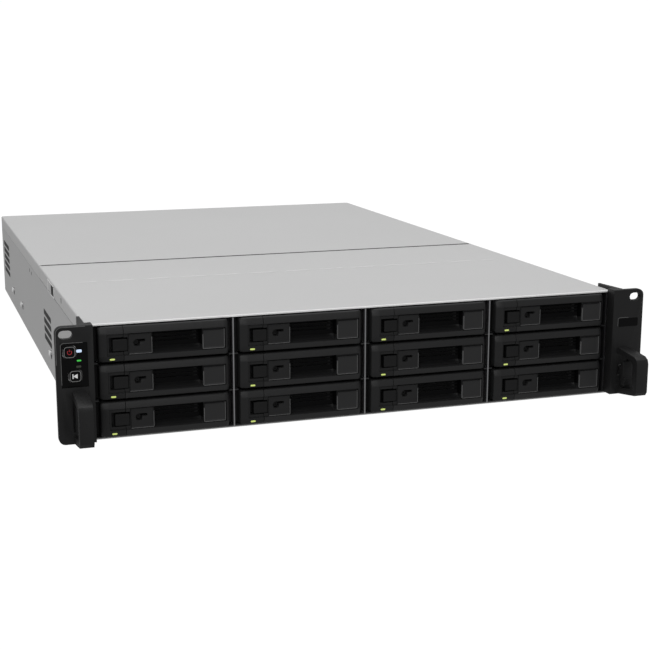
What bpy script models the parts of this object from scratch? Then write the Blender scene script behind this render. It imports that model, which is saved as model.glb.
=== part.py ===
"""A rack-mount network attached storage unit, two rack units high, with twelve hot-swap drive trays.

Metres, +Z up. The front looks along -Y. The origin is the middle of the footprint, level with the
chassis underside. Each mesh object is one separate piece of the real unit, and the pieces that turn
have their origin on their axis.
"""

import math

import bmesh
import bpy
from mathutils import Matrix, Vector

MM = 0.001

# Driving dimensions of the whole unit
PANEL_WIDTH = 482.6 * MM  # 19 inch rack panel
EAR_HEIGHT = 88.1 * MM  # two rack units less the usual clearance
CHASSIS_WIDTH = 436.4 * MM
CHASSIS_DEPTH = 650.0 * MM
CHASSIS_HEIGHT = 88.0 * MM
SHEET = 1.2 * MM  # folded steel sheet
GAP = 0.3 * MM  # clearance between pieces that rest on each other

# Drive bays: four columns of three trays
COLUMNS = 4
ROWS = 3
COLUMN_PITCH = 106.6 * MM
ROW_PITCH = 28.4 * MM
BOTTOM_ROW_Z = 15.9 * MM
WALL = 1.0 * MM  # bay divider
BAY_DEPTH = 186.0 * MM

# The handles stand out in front and the power supplies' pull bars behind
HANDLE_REACH = 41.0 * MM
PULL_REACH = 23.0 * MM
FRONT = (HANDLE_REACH - PULL_REACH - CHASSIS_DEPTH) / 2
REAR = FRONT + CHASSIS_DEPTH
SIDE = CHASSIS_WIDTH / 2
EAR_SIDE = PANEL_WIDTH / 2
EAR_LOW = 2.0 * MM
EAR_TOP = EAR_LOW + EAR_HEIGHT
BAY_SIDE = COLUMNS * COLUMN_PITCH / 2

PAST = 1.0 * MM  # how far a cutter runs past the face it cuts

for old in list(bpy.data.objects):
    bpy.data.objects.remove(old)

unit = bpy.data.collections.new("network_storage_unit")
bpy.context.scene.collection.children.link(unit)


# ---------------------------------------------------------------- materials

def material(name, colour, roughness, metallic=0.0):
    made = bpy.data.materials.new(name)
    made.use_nodes = True
    shader = made.node_tree.nodes["Principled BSDF"]
    shader.inputs["Base Color"].default_value = (*colour, 1.0)
    shader.inputs["Roughness"].default_value = roughness
    shader.inputs["Metallic"].default_value = metallic
    made.diffuse_color = (*colour, 1.0)
    return made


COATED_STEEL = material("coated_steel", (0.52, 0.52, 0.52), 0.45, 0.3)
ZINC_STEEL = material("zinc_steel", (0.45, 0.46, 0.47), 0.4, 0.9)
TRAY_PLASTIC = material("tray_plastic", (0.018, 0.018, 0.019), 0.45)
EAR_PLASTIC = material("ear_plastic", (0.02, 0.02, 0.021), 0.4)
WINDOW_GLOSS = material("window_gloss", (0.003, 0.003, 0.004), 0.08)
BUTTON_PLASTIC = material("button_plastic", (0.03, 0.03, 0.032), 0.5)
BOARD_GREEN = material("board_green", (0.01, 0.09, 0.045), 0.4)
FAN_PLASTIC = material("fan_plastic", (0.015, 0.015, 0.016), 0.5)
FIN_ALUMINIUM = material("fin_aluminium", (0.7, 0.71, 0.72), 0.3, 1.0)


# ------------------------------------------------------------- shape helpers

def place(name, mesh, finish=None):
    """Links a mesh as an object of the unit."""
    made = bpy.data.objects.new(name, mesh)
    unit.objects.link(made)
    if finish is not None:
        made.data.materials.clear()
        made.data.materials.append(finish)
    return made


def box(low, high, name="block"):
    """A box primitive between two corners."""
    low, high = Vector(low), Vector(high)
    form = bmesh.new()
    size = Matrix.Diagonal((*(high - low), 1.0))
    bmesh.ops.create_cube(form, size=1.0, matrix=Matrix.Translation((low + high) / 2) @ size)
    mesh = bpy.data.meshes.new(name)
    form.to_mesh(mesh)
    form.free()
    return place(name, mesh)


TURN_TO = {
    "x": Matrix.Rotation(math.pi / 2, 4, "Y"),
    "y": Matrix.Rotation(-math.pi / 2, 4, "X"),
    "z": Matrix.Identity(4),
}


def cylinder(centre, radius, length, along, sides=24, name="cylinder"):
    """A capped cylinder primitive about its centre."""
    form = bmesh.new()
    bmesh.ops.create_cone(
        form, cap_ends=True, segments=sides, radius1=radius, radius2=radius, depth=length,
        matrix=Matrix.Translation(centre) @ TURN_TO[along],
    )
    mesh = bpy.data.meshes.new(name)
    form.to_mesh(mesh)
    form.free()
    return place(name, mesh)


# A flat outline is drawn in two axes and extruded along the third: (first, second, along)
PLANES = {
    "x": Matrix(((0, 0, 1, 0), (1, 0, 0, 0), (0, 1, 0, 0), (0, 0, 0, 1))),
    "y": Matrix(((1, 0, 0, 0), (0, 0, -1, 0), (0, 1, 0, 0), (0, 0, 0, 1))),
    "z": Matrix.Identity(4),
}


def prism(outline, along, low, high, name="prism"):
    """A 2D curve outline, filled and extruded from low to high along an axis.

    Along x the outline is (y, z), along y it is (x, z), and along z it is (x, y).
    """
    curve = bpy.data.curves.new(name, "CURVE")
    curve.dimensions = "2D"
    curve.fill_mode = "BOTH"
    curve.extrude = (high - low) / 2
    spline = curve.splines.new("POLY")
    spline.points.add(len(outline) - 1)
    for point, (first, second) in zip(spline.points, outline):
        point.co = (first, second, 0.0, 1.0)
    spline.use_cyclic_u = True
    drawn = bpy.data.objects.new(name, curve)
    middle = (low + high) / 2
    shift = -middle if along == "y" else middle
    drawn.matrix_world = PLANES[along] @ Matrix.Translation((0, 0, shift))
    unit.objects.link(drawn)
    return solid_from(drawn, name)


def solid_from(drawn, name):
    """Turns a filled curve, or an object with modifiers, into a plain closed mesh object."""
    bpy.context.view_layer.update()
    graph = bpy.context.evaluated_depsgraph_get()
    mesh = bpy.data.meshes.new_from_object(drawn.evaluated_get(graph))
    mesh.transform(drawn.matrix_world)
    bpy.data.objects.remove(drawn)
    form = bmesh.new()
    form.from_mesh(mesh)
    bmesh.ops.remove_doubles(form, verts=form.verts, dist=0.001 * MM)
    bmesh.ops.recalc_face_normals(form, faces=form.faces)
    form.to_mesh(mesh)
    form.free()
    return place(name, mesh)


def combine(body, tool, operation):
    """Joins a tool to a body, or cuts the body with it, and removes the tool."""
    modifier = body.modifiers.new(operation.lower(), "BOOLEAN")
    modifier.operation = operation
    modifier.object = tool
    modifier.solver = "EXACT"
    bpy.context.view_layer.update()
    graph = bpy.context.evaluated_depsgraph_get()
    mesh = bpy.data.meshes.new_from_object(body.evaluated_get(graph))
    body.modifiers.clear()
    body.data = mesh
    bpy.data.objects.remove(tool)
    return body


def joined(body, *tools):
    for tool in tools:
        combine(body, tool, "UNION")
    return body


def cut(body, *tools):
    for tool in tools:
        combine(body, tool, "DIFFERENCE")
    return body


def finished(body, name, finish):
    """Gives a body its piece name and finish."""
    body.name = name
    body.data.name = name
    body.data.materials.clear()
    body.data.materials.append(finish)
    return body


def copied(template, name, offset):
    """A copy that shares the template's mesh, at its own place."""
    made = bpy.data.objects.new(name, template.data)
    made.location = offset
    unit.objects.link(made)
    return made


def arc(centre, radius, start, end, steps):
    """Points on an arc, angles in degrees, both ends included."""
    return [
        (
            centre[0] + radius * math.cos(math.radians(start + (end - start) * k / steps)),
            centre[1] + radius * math.sin(math.radians(start + (end - start) * k / steps)),
        )
        for k in range(steps + 1)
    ]


def slot_outline(centre, length, height, steps=6):
    """An oblong hole with round ends, its length along the first axis."""
    radius = height / 2
    reach = length / 2 - radius
    right = arc((centre[0] + reach, centre[1]), radius, -90, 90, steps)
    left = arc((centre[0] - reach, centre[1]), radius, 90, 270, steps)
    return right + left


def mirrored(outline):
    """The outline's mirror image across the unit's middle plane."""
    return [(-first, second) for first, second in reversed(outline)]


# --------------------------------------------------------------- chassis pan
# One folded steel pan: floor, two sides and a rear wall. The sides step inwards
# near the top so that the covers' skirts lie flush with them.

SKIRT_LOW = 76.0 * MM
STEP_IN = 1.5 * MM
STEP_LOW = SKIRT_LOW - GAP
PAN_TOP = CHASSIS_HEIGHT - SHEET - GAP

PSU_WIDTH = 73.5 * MM
PSU_HEIGHT = 38.5 * MM
PSU_DEPTH = 190.0 * MM
PSU_LEFT = -SIDE + SHEET + 2.0 * MM
PSU_LOW = (2.4 * MM, 43.4 * MM)  # the bottom of the lower and of the upper module
SHELF_Z = 41.6 * MM
SHELF_THICKNESS = 1.0 * MM

IO_LOW = 10.0 * MM
IO_HIGH = 44.0 * MM
IO_LEFT = -40.0 * MM
IO_RIGHT = 118.0 * MM

SLOT_RISE = 7.6 * MM  # pitch of the side vents
VENT_HEIGHT = 4.7 * MM


def pan_outline():
    """The pan's folded section: outside from the left rim round to the right, then back inside."""
    outer = [
        (-SIDE + STEP_IN, PAN_TOP), (-SIDE + STEP_IN, STEP_LOW), (-SIDE, STEP_LOW), (-SIDE, 0.0),
    ]
    inner = [
        (-SIDE + STEP_IN + SHEET, PAN_TOP), (-SIDE + STEP_IN + SHEET, STEP_LOW - SHEET),
        (-SIDE + SHEET, STEP_LOW - SHEET), (-SIDE + SHEET, SHEET),
    ]
    outside = outer + mirrored(outer)
    inside = inner + mirrored(inner)
    return outside + inside[::-1]


def side_vents(front, length, low, count):
    """Cutters for a stack of horizontal slots through both side walls."""
    cutters = []
    for k in range(count):
        outline = slot_outline((front + length / 2, low + k * SLOT_RISE), length, VENT_HEIGHT, 3)
        for side in (-1, 1):
            middle = side * SIDE
            cutters.append(prism(outline, "x", middle - 5 * MM, middle + 5 * MM))
    return cutters


def make_pan():
    pan = prism(pan_outline(), "y", FRONT + 2 * MM, REAR)
    rear_wall = box((-SIDE + SHEET / 2, REAR - SHEET, SHEET / 2),
                    (SIDE - SHEET / 2, REAR, STEP_LOW - SHEET / 2))
    rear_top = box((-SIDE + STEP_IN + SHEET / 2, REAR - SHEET, STEP_LOW - SHEET),
                   (SIDE - STEP_IN - SHEET / 2, REAR, PAN_TOP))
    joined(pan, joined(rear_wall, rear_top))
    shelf = box((-SIDE + SHEET / 2, REAR - PSU_DEPTH, SHELF_Z),
                (PSU_LEFT + PSU_WIDTH + 2 * MM, REAR - SHEET / 2, SHELF_Z + SHELF_THICKNESS))
    guard = box((PSU_LEFT + PSU_WIDTH + 1.2 * MM, REAR - PSU_DEPTH, SHEET / 2),
                (PSU_LEFT + PSU_WIDTH + 2.2 * MM, REAR - SHEET / 2, 84.0 * MM))
    joined(pan, shelf, guard)

    psu_mouths = [
        box((PSU_LEFT - 0.6 * MM, REAR - SHEET - PAST, low - 0.6 * MM),
            (PSU_LEFT + PSU_WIDTH + 0.6 * MM, REAR + PAST, low + PSU_HEIGHT + 0.6 * MM))
        for low in PSU_LOW
    ]
    io_mouth = box((IO_LEFT, REAR - SHEET - PAST, IO_LOW), (IO_RIGHT, REAR + PAST, IO_HIGH))
    cut(pan, *psu_mouths, io_mouth)

    rear_vents = [
        box((x, REAR - SHEET - PAST, 52.0 * MM), (x + 14.0 * MM, REAR + PAST, 80.0 * MM))
        for x in [IO_LEFT + k * 19.0 * MM for k in range(8)]
    ]
    cut(pan, *rear_vents)
    cut(pan, *side_vents(FRONT + 573 * MM, 58 * MM, 29.6 * MM, 5))
    cut(pan, *side_vents(FRONT + 203 * MM, 51 * MM, 27.2 * MM, 4))
    return finished(pan, "chassis_pan", COATED_STEEL)


# -------------------------------------------------------------------- covers
# Two folded steel lids with shallow skirts: the front one is screwed down over
# the drives, the rear one lifts off to reach the boards and fans.

COVER_SEAM = FRONT + 277.6 * MM
SEAM_HALF = 0.6 * MM
FRONT_SKIRT_LOW = SKIRT_LOW + GAP


def cover_outline(skirt_low):
    outer = [(-SIDE, skirt_low), (-SIDE, CHASSIS_HEIGHT)]
    inner = [(-SIDE + SHEET, skirt_low), (-SIDE + SHEET, CHASSIS_HEIGHT - SHEET)]
    ring = outer + mirrored(outer)
    return ring + (inner + mirrored(inner))[::-1]


def make_covers():
    front = prism(cover_outline(FRONT_SKIRT_LOW), "y", FRONT, COVER_SEAM - SEAM_HALF)
    for side in (-1, 1):
        window = box((side * SIDE - 3 * MM, FRONT + 173 * MM, FRONT_SKIRT_LOW - PAST),
                     (side * SIDE + 3 * MM, FRONT + 214 * MM, 86.0 * MM))
        cut(front, window)
    finished(front, "front_cover", COATED_STEEL)

    rear = prism(cover_outline(SKIRT_LOW), "y", COVER_SEAM + SEAM_HALF, REAR)
    finished(rear, "rear_cover", COATED_STEEL)
    return front, rear


# ------------------------------------------------------------------ bay cage
# Sheet dividers stand on a floor plate, with folded ledges that carry the trays.

CAGE_CLEARANCE = 11.0 * MM  # the cage ends with the drives, this far short of the bays' depth
CAGE_FLOOR_LOW = SHEET + GAP
CAGE_FLOOR_TOP = 2.3 * MM
DIVIDER_TOP = 86.4 * MM
LEDGE_REACH = 3.0 * MM
LEDGE_THICKNESS = 0.9 * MM


def row_z(row):
    """Height of a tray's middle, row 0 at the bottom."""
    return BOTTOM_ROW_Z + row * ROW_PITCH


def column_x(column):
    return (column - (COLUMNS - 1) / 2) * COLUMN_PITCH


def wall_face(x, outwards):
    """One face of a divider from floor to top, stepping out round each ledge."""
    points = [(x, CAGE_FLOOR_TOP)]
    for row in range(1, ROWS):
        middle = (row_z(row) + row_z(row - 1)) / 2
        low, high = middle - LEDGE_THICKNESS / 2, middle + LEDGE_THICKNESS / 2
        reach = x + outwards * LEDGE_REACH
        points += [(x, low), (reach, low), (reach, high), (x, high)]
    return points + [(x, DIVIDER_TOP)]


def make_cage():
    """The comb section of floor and dividers, from left to right, then back under the floor."""
    outline = []
    for wall in range(COLUMNS + 1):
        x = -BAY_SIDE + wall * COLUMN_PITCH
        left, right = x - WALL / 2, x + WALL / 2
        if wall == 0:
            outline += [(left, CAGE_FLOOR_LOW), (left, DIVIDER_TOP)]
        else:
            outline += wall_face(left, -1)
        if wall == COLUMNS:
            outline += [(right, DIVIDER_TOP), (right, CAGE_FLOOR_LOW)]
        else:
            outline += wall_face(right, 1)[::-1]
    cage = prism(outline, "y", FRONT, FRONT + BAY_DEPTH - CAGE_CLEARANCE)
    return finished(cage, "bay_cage", ZINC_STEEL)


# ------------------------------------------------------- backplane and fans

BACKPLANE_FRONT = FRONT + BAY_DEPTH + 2.0 * MM
BOARD = 1.6 * MM
BACKPLANE_BOARD = 2.4 * MM  # thicker than the mainboard, as it takes the trays' push
FAN_PITCH = 84.0 * MM
FAN_COUNT = 4
FAN_Z = 43.5 * MM
FAN_HALF = 40.0 * MM
FAN_FRONT = FRONT + 212.0 * MM
FAN_THICKNESS = 25.4 * MM
FAN_BORE = 38.0 * MM
ROTOR_RADIUS = 36.6 * MM
HUB_RADIUS = 17.5 * MM
BLADES = 7


def fan_x(index):
    return (index - (FAN_COUNT - 1) / 2) * FAN_PITCH


def make_backplane():
    """A circuit board across the back of the bays, with a drive socket in each bay."""
    plane = box((-BAY_SIDE + 1 * MM, BACKPLANE_FRONT, 3.2 * MM),
                (BAY_SIDE - 1 * MM, BACKPLANE_FRONT + BACKPLANE_BOARD, 85.0 * MM))
    for column in range(COLUMNS):
        x = column_x(column)
        for row in range(ROWS):
            z = row_z(row)
            air = box((x - 44 * MM, BACKPLANE_FRONT - PAST, z - 2.0 * MM),
                      (x + 44 * MM, BACKPLANE_FRONT + BACKPLANE_BOARD + PAST, z + 12.5 * MM))
            socket = box((x - 46 * MM, BACKPLANE_FRONT - 7 * MM, z - 11.0 * MM),
                         (x - 2 * MM, BACKPLANE_FRONT + BACKPLANE_BOARD / 2, z - 3.5 * MM))
            cut(plane, air)
            joined(plane, socket)
    return finished(plane, "backplane", BOARD_GREEN)


def make_fan_wall():
    """The four fan frames in one plastic wall, each with a round duct and a motor seat on spokes."""
    half = FAN_PITCH * FAN_COUNT / 2
    wall = box((-half, FAN_FRONT, FAN_Z - FAN_HALF), (half, FAN_FRONT + FAN_THICKNESS, FAN_Z + FAN_HALF))
    wings = box((-SIDE + 5 * MM, FAN_FRONT + 10 * MM, 2.0 * MM),
                (SIDE - 5 * MM, FAN_FRONT + 12 * MM, 84.5 * MM))
    joined(wall, wings)
    back = FAN_FRONT + FAN_THICKNESS
    for index in range(FAN_COUNT):
        x = fan_x(index)
        middle = (x, FAN_FRONT + FAN_THICKNESS / 2, FAN_Z)
        duct = cylinder(middle, FAN_BORE, FAN_THICKNESS + 2 * PAST, "y", 24)
        cut(wall, duct)
        seat = cylinder((x, back - 1.5 * MM, FAN_Z), HUB_RADIUS, 3.0 * MM, "y", 16)
        spokes = box((x - FAN_BORE - PAST, back - 2.6 * MM, FAN_Z - 1.6 * MM),
                     (x + FAN_BORE + PAST, back - 0.4 * MM, FAN_Z + 1.6 * MM))
        upright = box((x - 1.6 * MM, back - 2.6 * MM, FAN_Z - FAN_BORE - PAST),
                      (x + 1.6 * MM, back - 0.4 * MM, FAN_Z + FAN_BORE + PAST))
        joined(wall, joined(seat, spokes, upright))
    return finished(wall, "fan_wall", FAN_PLASTIC)


def make_rotors():
    """A round hub with seven pitched blades, copied into each duct."""
    middle = FAN_FRONT + 11.0 * MM
    rotor = cylinder((0, middle, 0), HUB_RADIUS, 18.0 * MM, "y", 20)
    pitch = Matrix.Rotation(math.radians(38), 4, "X")
    for blade in range(BLADES):
        vane = box((HUB_RADIUS - 2 * MM, -0.6 * MM, -10.0 * MM), (ROTOR_RADIUS - 1.2 * MM, 0.6 * MM, 10.0 * MM))
        turn = Matrix.Rotation(2 * math.pi * blade / BLADES, 4, "Y")
        vane.data.transform(Matrix.Translation((0, middle, 0)) @ turn @ pitch)
        joined(rotor, vane)
    finished(rotor, "rotor", FAN_PLASTIC)
    for index in range(FAN_COUNT):
        copied(rotor, f"fan_rotor_{index + 1}", (fan_x(index), 0, FAN_Z))
    bpy.data.objects.remove(rotor)


# ----------------------------------------------------------------- mainboard

BOARD_Z = 8.0 * MM
BOARD_LEFT = -132.0 * MM
BOARD_RIGHT = 208.0 * MM
BOARD_FRONT = FRONT + 300.0 * MM
BOARD_REAR = REAR - SHEET - 1.0 * MM
CPU_X = 60.0 * MM
CPU_Y = FRONT + 420.0 * MM


def make_mainboard():
    """The controller board with its processor socket, memory, card sockets and coils, all soldered on."""
    top = BOARD_Z + BOARD
    sunk = BOARD_Z + BOARD / 2
    board = box((BOARD_LEFT, BOARD_FRONT, BOARD_Z), (BOARD_RIGHT, BOARD_REAR, top))
    posts = [
        box((x - 3 * MM, y - 3 * MM, SHEET + GAP), (x + 3 * MM, y + 3 * MM, sunk))
        for x in (BOARD_LEFT + 8 * MM, 40 * MM, BOARD_RIGHT - 8 * MM)
        for y in (BOARD_FRONT + 8 * MM, BOARD_REAR - 12 * MM)
    ]
    processor = box((CPU_X - 20 * MM, CPU_Y - 20 * MM, sunk),
                    (CPU_X + 20 * MM, CPU_Y + 20 * MM, top + 4.0 * MM))
    memory = [
        box((x, CPU_Y - 66 * MM, sunk), (x + 5 * MM, CPU_Y + 66 * MM, top + 30.0 * MM))
        for x in [CPU_X + (52 + 9 * k) * MM for k in range(4)]
    ]
    card_sockets = [
        box((x, REAR - 110 * MM, sunk), (x + 7 * MM, REAR - 30 * MM, top + 11.0 * MM))
        for x in (138 * MM, 176 * MM)
    ]
    coils = [
        box((x, CPU_Y - 52 * MM, sunk), (x + 9 * MM, CPU_Y - 42 * MM, top + 7.0 * MM))
        for x in [CPU_X + (-40 + 13 * k) * MM for k in range(5)]
    ]
    hub_chip = box((-40 * MM, REAR - 140 * MM, sunk), (-12 * MM, REAR - 112 * MM, top + 9.0 * MM))
    joined(board, *posts, processor, *memory, *card_sockets, *coils, hub_chip)
    return finished(board, "main_board", BOARD_GREEN)


def make_heatsink():
    """An extruded comb of fins on a base plate, over the processor."""
    low = BOARD_Z + BOARD + 4.0 * MM + GAP
    half, fins, fin = 39.0 * MM, 13, 1.2 * MM
    base_top, fin_top = low + 6.0 * MM, low + 46.0 * MM
    pitch = (2 * half - fin) / (fins - 1)
    outline = [(CPU_X + half, low), (CPU_X - half, low)]
    for k in range(fins):
        x = CPU_X - half + k * pitch
        outline += [(x, fin_top), (x + fin, fin_top)]
        if k < fins - 1:
            outline += [(x + fin, base_top), (x + pitch, base_top)]
    sink = prism(outline, "y", CPU_Y - half, CPU_Y + half)
    return finished(sink, "heatsink", FIN_ALUMINIUM)


# ------------------------------------------------------------ rear connectors

PORT_DEPTH = 13.0 * MM
NETWORK_PORTS = 4
PORT_PITCH = 17.0 * MM


def make_rear_ports():
    """The connector block in the rear wall: four network sockets and two stacked USB sockets."""
    face = REAR + 0.8 * MM
    ports = box((IO_LEFT + GAP, REAR - 4.0 * MM, IO_LOW + GAP), (IO_RIGHT - GAP, face, IO_HIGH - GAP))
    body = box((IO_LEFT + 4 * MM, REAR - 20.0 * MM, BOARD_Z + BOARD + GAP),
               (IO_RIGHT - 4 * MM, REAR - 2 * MM, 28.0 * MM))
    joined(ports, body)
    low = 11.0 * MM
    sockets = [
        box((x, REAR - PORT_DEPTH, low + 1.0 * MM), (x + 12.4 * MM, face + PAST, low + 9.6 * MM))
        for x in [IO_LEFT + (10 + k * 17.0) * MM for k in range(NETWORK_PORTS)]
    ]
    usb = [
        box((88.0 * MM, REAR - PORT_DEPTH, z), (101.2 * MM, face + PAST, z + 5.6 * MM))
        for z in (12.0 * MM, 20.0 * MM)
    ]
    cut(ports, *sockets, *usb)
    return finished(ports, "rear_ports", ZINC_STEEL)


# ------------------------------------------------------------- power supplies

INLET_WIDTH = 24.6 * MM
INLET_HEIGHT = 17.0 * MM
INLET_DEPTH = 17.0 * MM
PULL_BAR = 4.5 * MM


def pull_outline(face, low, high):
    """A square loop behind a module as (y, z), open at the module's rear face."""
    end = REAR + PULL_REACH
    outer = [(face - PAST, high), (end, high), (end, low), (face - PAST, low)]
    inner = [(face - PAST, low + PULL_BAR), (end - PULL_BAR, low + PULL_BAR),
             (end - PULL_BAR, high - PULL_BAR), (face - PAST, high - PULL_BAR)]
    return outer + inner


def make_power_supplies():
    """Two hot-swap modules, one above the other, each with a mains inlet, a pull bar and a side latch."""
    for index, low in enumerate(PSU_LOW):
        left, right = PSU_LEFT, PSU_LEFT + PSU_WIDTH
        top = low + PSU_HEIGHT
        face = REAR + 1.0 * MM
        module = box((left, REAR - PSU_DEPTH + 14 * MM, low), (right, face, top))
        edge_plug = box((left + 12 * MM, REAR - PSU_DEPTH + 4 * MM, low + 8 * MM),
                        (right - 12 * MM, REAR - PSU_DEPTH + 15 * MM, low + 10 * MM))
        inlet_x = right - 8 * MM - INLET_WIDTH
        inlet_z = low + 6.5 * MM
        inlet = box((inlet_x, face - INLET_DEPTH, inlet_z),
                    (inlet_x + INLET_WIDTH, face + PAST, inlet_z + INLET_HEIGHT))
        pins = [
            box((x - 1.0 * MM, face - INLET_DEPTH - PAST, z - 2.0 * MM),
                (x + 1.0 * MM, face - 5 * MM, z + 2.0 * MM))
            for x, z in (
                (inlet_x + 5.3 * MM, inlet_z + 6.5 * MM),
                (inlet_x + 19.3 * MM, inlet_z + 6.5 * MM),
                (inlet_x + 12.3 * MM, inlet_z + 11.0 * MM),
            )
        ]
        air = [
            box((left + 8 * MM, face - 3 * MM, low + (9 + 5.2 * k) * MM),
                (left + 30 * MM, face + PAST, low + (12 + 5.2 * k) * MM))
            for k in range(4)
        ]
        pull = prism(pull_outline(face, low + 6 * MM, top - 9 * MM), "x", left + 32.5 * MM, left + 37.0 * MM)
        joined(module, edge_plug, pull)
        cut(module, inlet, *air)
        joined(module, *pins)
        latch_z = top - 5.5 * MM
        cut(module, box((left + 8 * MM, face - 8 * MM, latch_z - 2.6 * MM),
                        (left + 30 * MM, face + PAST, latch_z + 2.6 * MM)))
        finished(module, f"power_supply_{index + 1}", ZINC_STEEL)

        latch = box((left + 9 * MM, face - 7.4 * MM, latch_z - 2.2 * MM),
                    (left + 24 * MM, face - 1.5 * MM, latch_z + 2.2 * MM))
        thumb = box((left + 11 * MM, face - 3 * MM, latch_z - 2.0 * MM),
                    (left + 19 * MM, face + 5 * MM, latch_z + 2.0 * MM))
        joined(latch, thumb)
        finished(latch, f"power_supply_latch_{index + 1}", BUTTON_PLASTIC)


# ---------------------------------------------------------------- rack ears
# Moulded ears: a front plate that bolts to the rack, a flange along the chassis
# side, a short return beside the trays, and a pull handle with a release trigger.

EAR_FACE = FRONT - 11.0 * MM
EAR_PLATE = 4.5 * MM
EAR_INNER = 213.8 * MM
EAR_CORNER = 5.0 * MM
RETURN_THICKNESS = 2.2 * MM
FLANGE_INNER = SIDE + GAP
FLANGE_THICKNESS = 2.3 * MM
FLANGE_REAR = FRONT + 23.5 * MM
GUSSET = 2.5 * MM
WEB_INSET = 0.05 * MM  # keeps a web's faces off the gusset's
GUSSET_SIDE = 224.6 * MM  # clear of the 450 mm opening between the rack's posts
BOLT_SLOT_X = 233.6 * MM
BOLT_SLOT_Z = 84.0 * MM
BOLT_SLOT = (10.2 * MM, 6.4 * MM)

GRIP_INNER = 219.9 * MM
GRIP_OUTER = 230.3 * MM
GRIP_FRONT = FRONT - HANDLE_REACH
GRIP_BAR = 6.5 * MM  # thickness of the bar that the fingers close on
TRIGGER_STEM_INNER = 222.0 * MM
TRIGGER_STEM_OUTER = 224.6 * MM
TRIGGER_STEM_END = EAR_FACE + 12.0 * MM
TRIGGER_FRONT = EAR_FACE - 7.6 * MM


def ear_plate_outline():
    """Front plate as seen from the front, for the ear on +X: square inside corners, round outside ones."""
    high = arc((EAR_SIDE - EAR_CORNER, EAR_TOP - EAR_CORNER), EAR_CORNER, 90, 0, 5)
    low = arc((EAR_SIDE - EAR_CORNER, EAR_LOW + EAR_CORNER), EAR_CORNER, 0, -90, 5)
    return [(EAR_INNER, EAR_LOW), (EAR_INNER, EAR_TOP)] + high + low


def grip_outline():
    """The handle's outside from the side, as (y, z): it narrows a little towards the fingers."""
    return [
        (EAR_FACE + 2 * MM, EAR_TOP - 48.5 * MM), (EAR_FACE, EAR_TOP - 48.5 * MM),
        (GRIP_FRONT + 5 * MM, 39.0 * MM), (GRIP_FRONT + 1.2 * MM, 37.0 * MM), (GRIP_FRONT, 33.5 * MM),
        (GRIP_FRONT, 10.0 * MM), (GRIP_FRONT + 2 * MM, 7.0 * MM),
        (EAR_FACE, EAR_LOW + 0.6 * MM), (EAR_FACE + 2 * MM, EAR_LOW + 0.6 * MM),
    ]


def finger_gap_outline():
    """The opening behind the bar, as (y, z)."""
    return [
        (EAR_FACE - 0.2 * MM, 36.5 * MM), (GRIP_FRONT + GRIP_BAR + 3 * MM, 34.5 * MM),
        (GRIP_FRONT + GRIP_BAR, 31.5 * MM), (GRIP_FRONT + GRIP_BAR, 12.5 * MM),
        (GRIP_FRONT + GRIP_BAR + 3 * MM, 10.5 * MM), (EAR_FACE - 0.2 * MM, 8.0 * MM),
    ]


def gusset_outline():
    """A web between plate and flange, as (x, y), tapering to the rear."""
    start = EAR_FACE + EAR_PLATE / 2
    return [(FLANGE_INNER + GAP, start), (GUSSET_SIDE, start), (GUSSET_SIDE, EAR_FACE + EAR_PLATE),
            (FLANGE_INNER + FLANGE_THICKNESS - GAP, FLANGE_REAR - 1 * MM),
            (FLANGE_INNER + GAP, FLANGE_REAR - 1 * MM)]


def flipped(outline, side):
    return outline if side > 0 else mirrored(outline)


def span(side, near, far):
    """The low and high X of a stretch given for the ear on +X."""
    return (near, far) if side > 0 else (-far, -near)


def make_ear(side):
    plate = prism(flipped(ear_plate_outline(), side), "y", EAR_FACE, EAR_FACE + EAR_PLATE)
    left, right = span(side, EAR_INNER, EAR_INNER + RETURN_THICKNESS)
    edge_return = box((left, EAR_FACE + 1 * MM, EAR_LOW), (right, FRONT - GAP, EAR_TOP))
    left, right = span(side, FLANGE_INNER, FLANGE_INNER + FLANGE_THICKNESS)
    flange = box((left, EAR_FACE + 1 * MM, EAR_LOW), (right, FLANGE_REAR, EAR_TOP))
    left, right = span(side, GRIP_INNER, GRIP_OUTER)
    grip = prism(grip_outline(), "x", left, right)
    gap = prism(finger_gap_outline(), "x", left - PAST, right + PAST)
    cut(grip, gap)
    gussets = [
        prism(flipped(gusset_outline(), side), "z", low, low + GUSSET)
        for low in (EAR_LOW, EAR_TOP - GUSSET)
    ]
    left, right = span(side, EAR_INNER + RETURN_THICKNESS / 2, FLANGE_INNER + FLANGE_THICKNESS / 2)
    webs = [
        box((left, EAR_FACE + EAR_PLATE / 2, low + WEB_INSET),
            (right, FRONT - 2 * GAP, low + GUSSET - WEB_INSET))
        for low in (EAR_LOW, EAR_TOP - GUSSET)
    ]
    ear = joined(plate, edge_return, flange, grip, *gussets, *webs)
    slot = prism(slot_outline((side * BOLT_SLOT_X, BOLT_SLOT_Z), *BOLT_SLOT), "y",
                 EAR_FACE - PAST, EAR_FACE + EAR_PLATE + PAST)
    left, right = span(side, GRIP_INNER - 0.4 * MM, GRIP_OUTER)
    recess = box((left, EAR_FACE - 0.2 * MM, 11.0 * MM), (right, EAR_FACE + 1.4 * MM, 36.0 * MM))
    cut(ear, recess)
    left, right = span(side, TRIGGER_STEM_INNER - 0.6 * MM, TRIGGER_STEM_OUTER + 0.6 * MM)
    stem_slot = box((left, EAR_FACE - PAST, 17.4 * MM), (right, EAR_FACE + EAR_PLATE + PAST, 26.6 * MM))
    return cut(ear, slot, stem_slot)


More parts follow.
